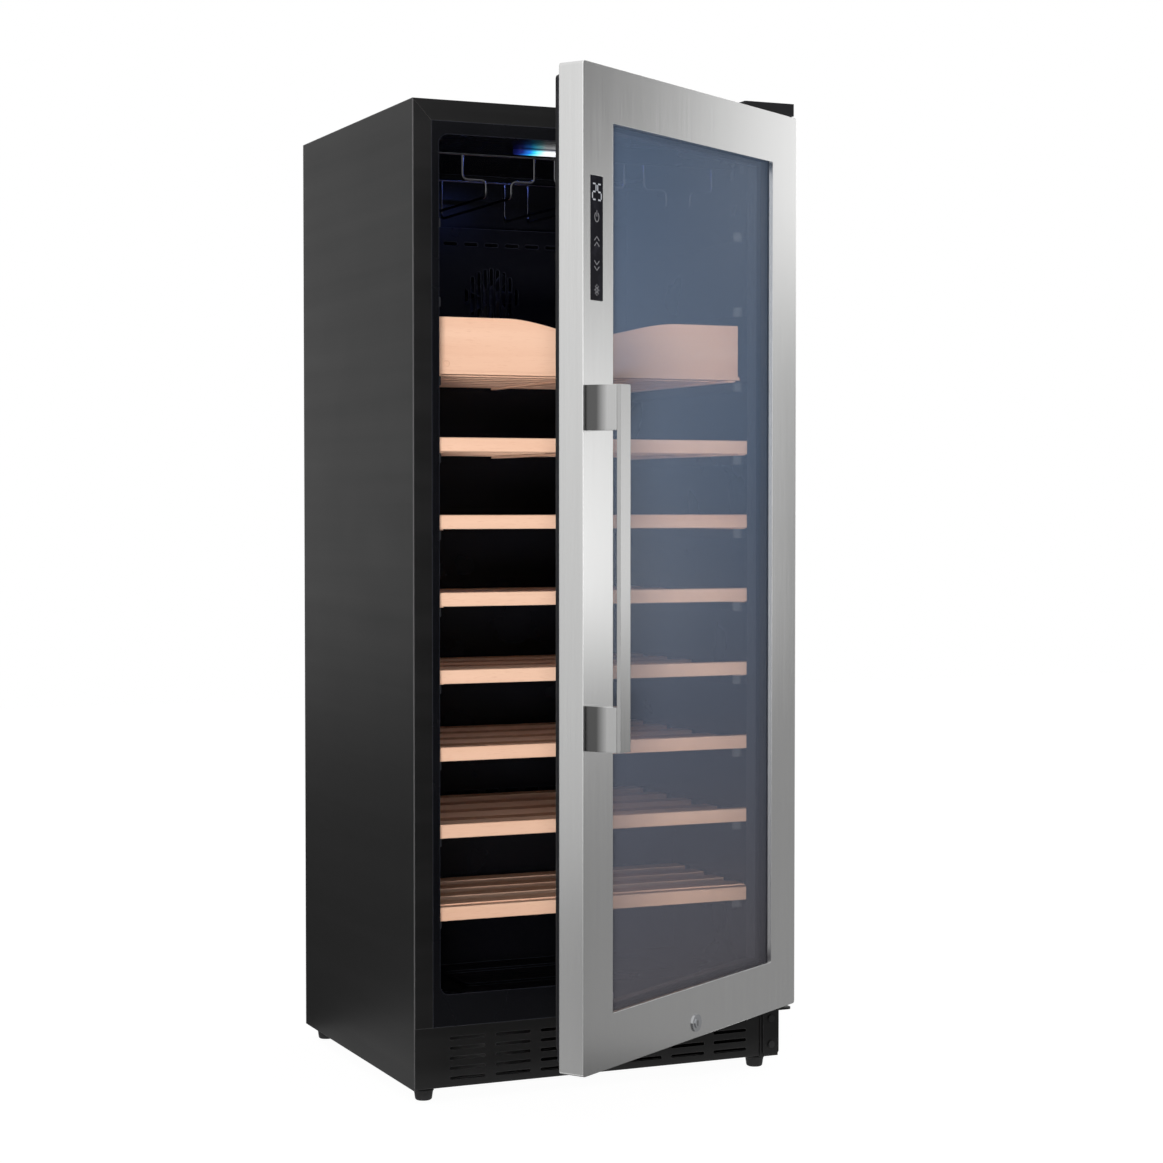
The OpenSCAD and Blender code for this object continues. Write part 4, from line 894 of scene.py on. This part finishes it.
class WINECOOLER_OT_studio(DressOperator, Operator):
    """Set up the white studio: floor, background, lamps and camera"""

    bl_idname = "winecooler.studio"
    bl_label = "Studio"

    def execute(self, context):
        studio = context.scene.cooler_studio
        self.view(context.scene, studio)
        self.background(context.scene, studio)
        self.floor()
        for card in UPRIGHT_CARDS:
            self.card(*card)
        for card in FLOOR_CARDS:
            self.floor_card(*card)
        self.key_lamp(studio.key_power)
        self.cavity_lamp(studio.led_power)
        return {"FINISHED"}

    def view(self, scene, studio):
        data = bpy.data.cameras.new("studio_camera")
        data.lens = studio.lens
        data.sensor_width = SENSOR_WIDTH
        camera = bpy.data.objects.new("studio_camera", data)
        camera.location = studio.camera_place
        camera.rotation_euler = (math.pi / 2 + studio.camera_pitch, 0.0, -studio.camera_yaw)
        scene.collection.objects.link(camera)
        scene.camera = camera
        scene.view_settings.view_transform = "Standard"

    def seen_directly(self, sh):
        """1 for rays from the camera or from a reflection or through glass, 0 for light on surfaces."""
        rays = [sh.add("ShaderNodeLightPath", output=name)
                for name in ("Is Camera Ray", "Is Glossy Ray", "Is Transmission Ray")]
        return (rays[0] + rays[1] + rays[2]).clamped()

    def background(self, scene, studio):
        world = bpy.data.worlds.new("studio_world")
        scene.world = world
        sh = Shader(world)
        share = self.seen_directly(sh)
        strength = share + (1.0 - share) * studio.room_light
        sh.output(sh.add("ShaderNodeBackground", sockets={"Color": WHITE, "Strength": strength}),
                  "ShaderNodeOutputWorld")

    def sheet(self, name, place, size, finish):
        """A flat stage sheet facing up before it is turned."""
        mesh = bpy.data.meshes.new(name)
        x, y = size[0] / 2, size[1] / 2
        mesh.from_pydata([(-x, -y, 0), (x, -y, 0), (x, y, 0), (-x, y, 0)], [], [(0, 1, 2, 3)])
        mesh.materials.append(finish)
        obj = bpy.data.objects.new(name, mesh)
        obj.location = place
        bpy.context.scene.collection.objects.link(obj)
        return obj

    def floor(self):
        finish = bpy.data.materials.new("studio_floor")
        sh = Shader(finish)
        paper = sh.noise(sh.place(), 3.0, 3.0)
        ground = sh.add("ShaderNodeBsdfDiffuse", sockets={
            "Color": sh.blend(paper, (0.84, 0.84, 0.84), (0.88, 0.88, 0.88))})
        white = sh.add("ShaderNodeEmission", sockets={"Color": WHITE, "Strength": FLOOR_WHITE})
        share = FLOOR_SHARE * self.seen_directly(sh)
        sh.output(sh.add("ShaderNodeMixShader", sockets={0: share, 1: ground, 2: white}))
        self.sheet("studio_floor", (0, 0, 0), FLOOR_SIZE, finish)

    def only_in_reflections(self, obj):
        obj.visible_camera = False
        obj.visible_diffuse = False
        obj.visible_shadow = False
        obj.visible_transmission = False

    def card(self, name, place, size, turn, left, right=None, span=(0.0, 1.0)):
        """An upright card that shows only in metal and glass. Its shades go by height, and may
        change from those of the left list to those of the right list over a span of Y."""
        finish = bpy.data.materials.new(name)
        sh = Shader(finish)
        here = sh.place()
        up = sh.axis(here, "Y") / size[1] + 0.5
        shade = sh.ramp(up, *((stop, (level,) * 3) for stop, level in left))
        if right:
            far = sh.ramp(up, *((stop, (level,) * 3) for stop, level in right))
            y = place[1] + sh.axis(here, "X") * math.copysign(1.0, turn)
            shade = sh.blend(sh.between(y, *span), shade, far)
        sh.output(sh.add("ShaderNodeEmission", sockets={"Color": shade, "Strength": 1.0}))
        card = self.sheet(name, place, size, finish)
        card.rotation_euler = (math.pi / 2, 0, turn)
        self.only_in_reflections(card)

    def floor_card(self, name, place, size, level):
        """A grey card on the floor that shows only in metal and glass."""
        finish = bpy.data.materials.new(name)
        sh = Shader(finish)
        sh.output(sh.add("ShaderNodeEmission", sockets={"Color": (level, level, level, 1), "Strength": 1.0}))
        self.only_in_reflections(self.sheet(name, (*place, CARD_LIFT), size, finish))

    def lamp(self, name, place, size, power, colour):
        """A rectangular lamp, facing down before it is turned."""
        data = bpy.data.lights.new(name, "AREA")
        data.shape = "RECTANGLE"
        data.size, data.size_y = size
        data.energy = power
        data.color = colour
        lamp = bpy.data.objects.new(name, data)
        lamp.location = place
        bpy.context.scene.collection.objects.link(lamp)
        return lamp

    def key_lamp(self, power):
        """The soft lamp at the front left, kept out of the steel's reflections."""
        lamp = self.lamp("key_lamp", KEY_PLACE, KEY_SIZE, power, KEY_LIGHT)
        lamp.data.spread = KEY_SPREAD
        lamp.visible_glossy = False
        aim = Vector(KEY_AIM) - Vector(KEY_PLACE)
        lamp.rotation_euler = aim.to_track_quat("-Z", "Y").to_euler()

    def cavity_lamp(self, power):
        """The blue lamp under the lens in the cavity's ceiling."""
        low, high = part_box("lamp_lens")
        centre = (low + high) / 2
        self.lamp("cavity_lamp", (centre.x, centre.y, low.z - MM),
                  (high.x - low.x, high.y - low.y), power, CAVITY_LIGHT)


OPERATORS = (
    WINECOOLER_OT_cabinet,
    WINECOOLER_OT_cavity,
    WINECOOLER_OT_cooling,
    WINECOOLER_OT_woodwork,
    WINECOOLER_OT_door,
    WINECOOLER_OT_handle,
    WINECOOLER_OT_touch_panel,
    WINECOOLER_OT_lock,
    WINECOOLER_OT_hinges,
    WINECOOLER_OT_studio,
)


class WINECOOLER_PT_sidebar(Panel):
    """The cooler's operators and settings"""

    bl_label = "Wine Cooler"
    bl_idname = "WINECOOLER_PT_sidebar"
    bl_space_type = "VIEW_3D"
    bl_region_type = "UI"
    bl_category = "Wine Cooler"

    def draw(self, context):
        for operator in OPERATORS:
            self.layout.operator(operator.bl_idname)
        for settings in (context.scene.cooler_finishes, context.scene.cooler_fittings,
                         context.scene.cooler_studio):
            for name in type(settings).__annotations__:
                self.layout.prop(settings, name)


CLASSES = (CoolerFinishes, CoolerFittings, CoolerStudio, *OPERATORS, WINECOOLER_PT_sidebar)


def register():
    for cls in CLASSES:
        bpy.utils.register_class(cls)
    bpy.types.Scene.cooler_finishes = PointerProperty(type=CoolerFinishes)
    bpy.types.Scene.cooler_fittings = PointerProperty(type=CoolerFittings)
    bpy.types.Scene.cooler_studio = PointerProperty(type=CoolerStudio)


def unregister():
    del bpy.types.Scene.cooler_studio
    del bpy.types.Scene.cooler_fittings
    del bpy.types.Scene.cooler_finishes
    for cls in reversed(CLASSES):
        bpy.utils.unregister_class(cls)


def main():
    register()
    for operator in OPERATORS:
        group, name = operator.bl_idname.split(".")
        getattr(getattr(bpy.ops, group), name)()


if __name__ == "__main__":
    main()
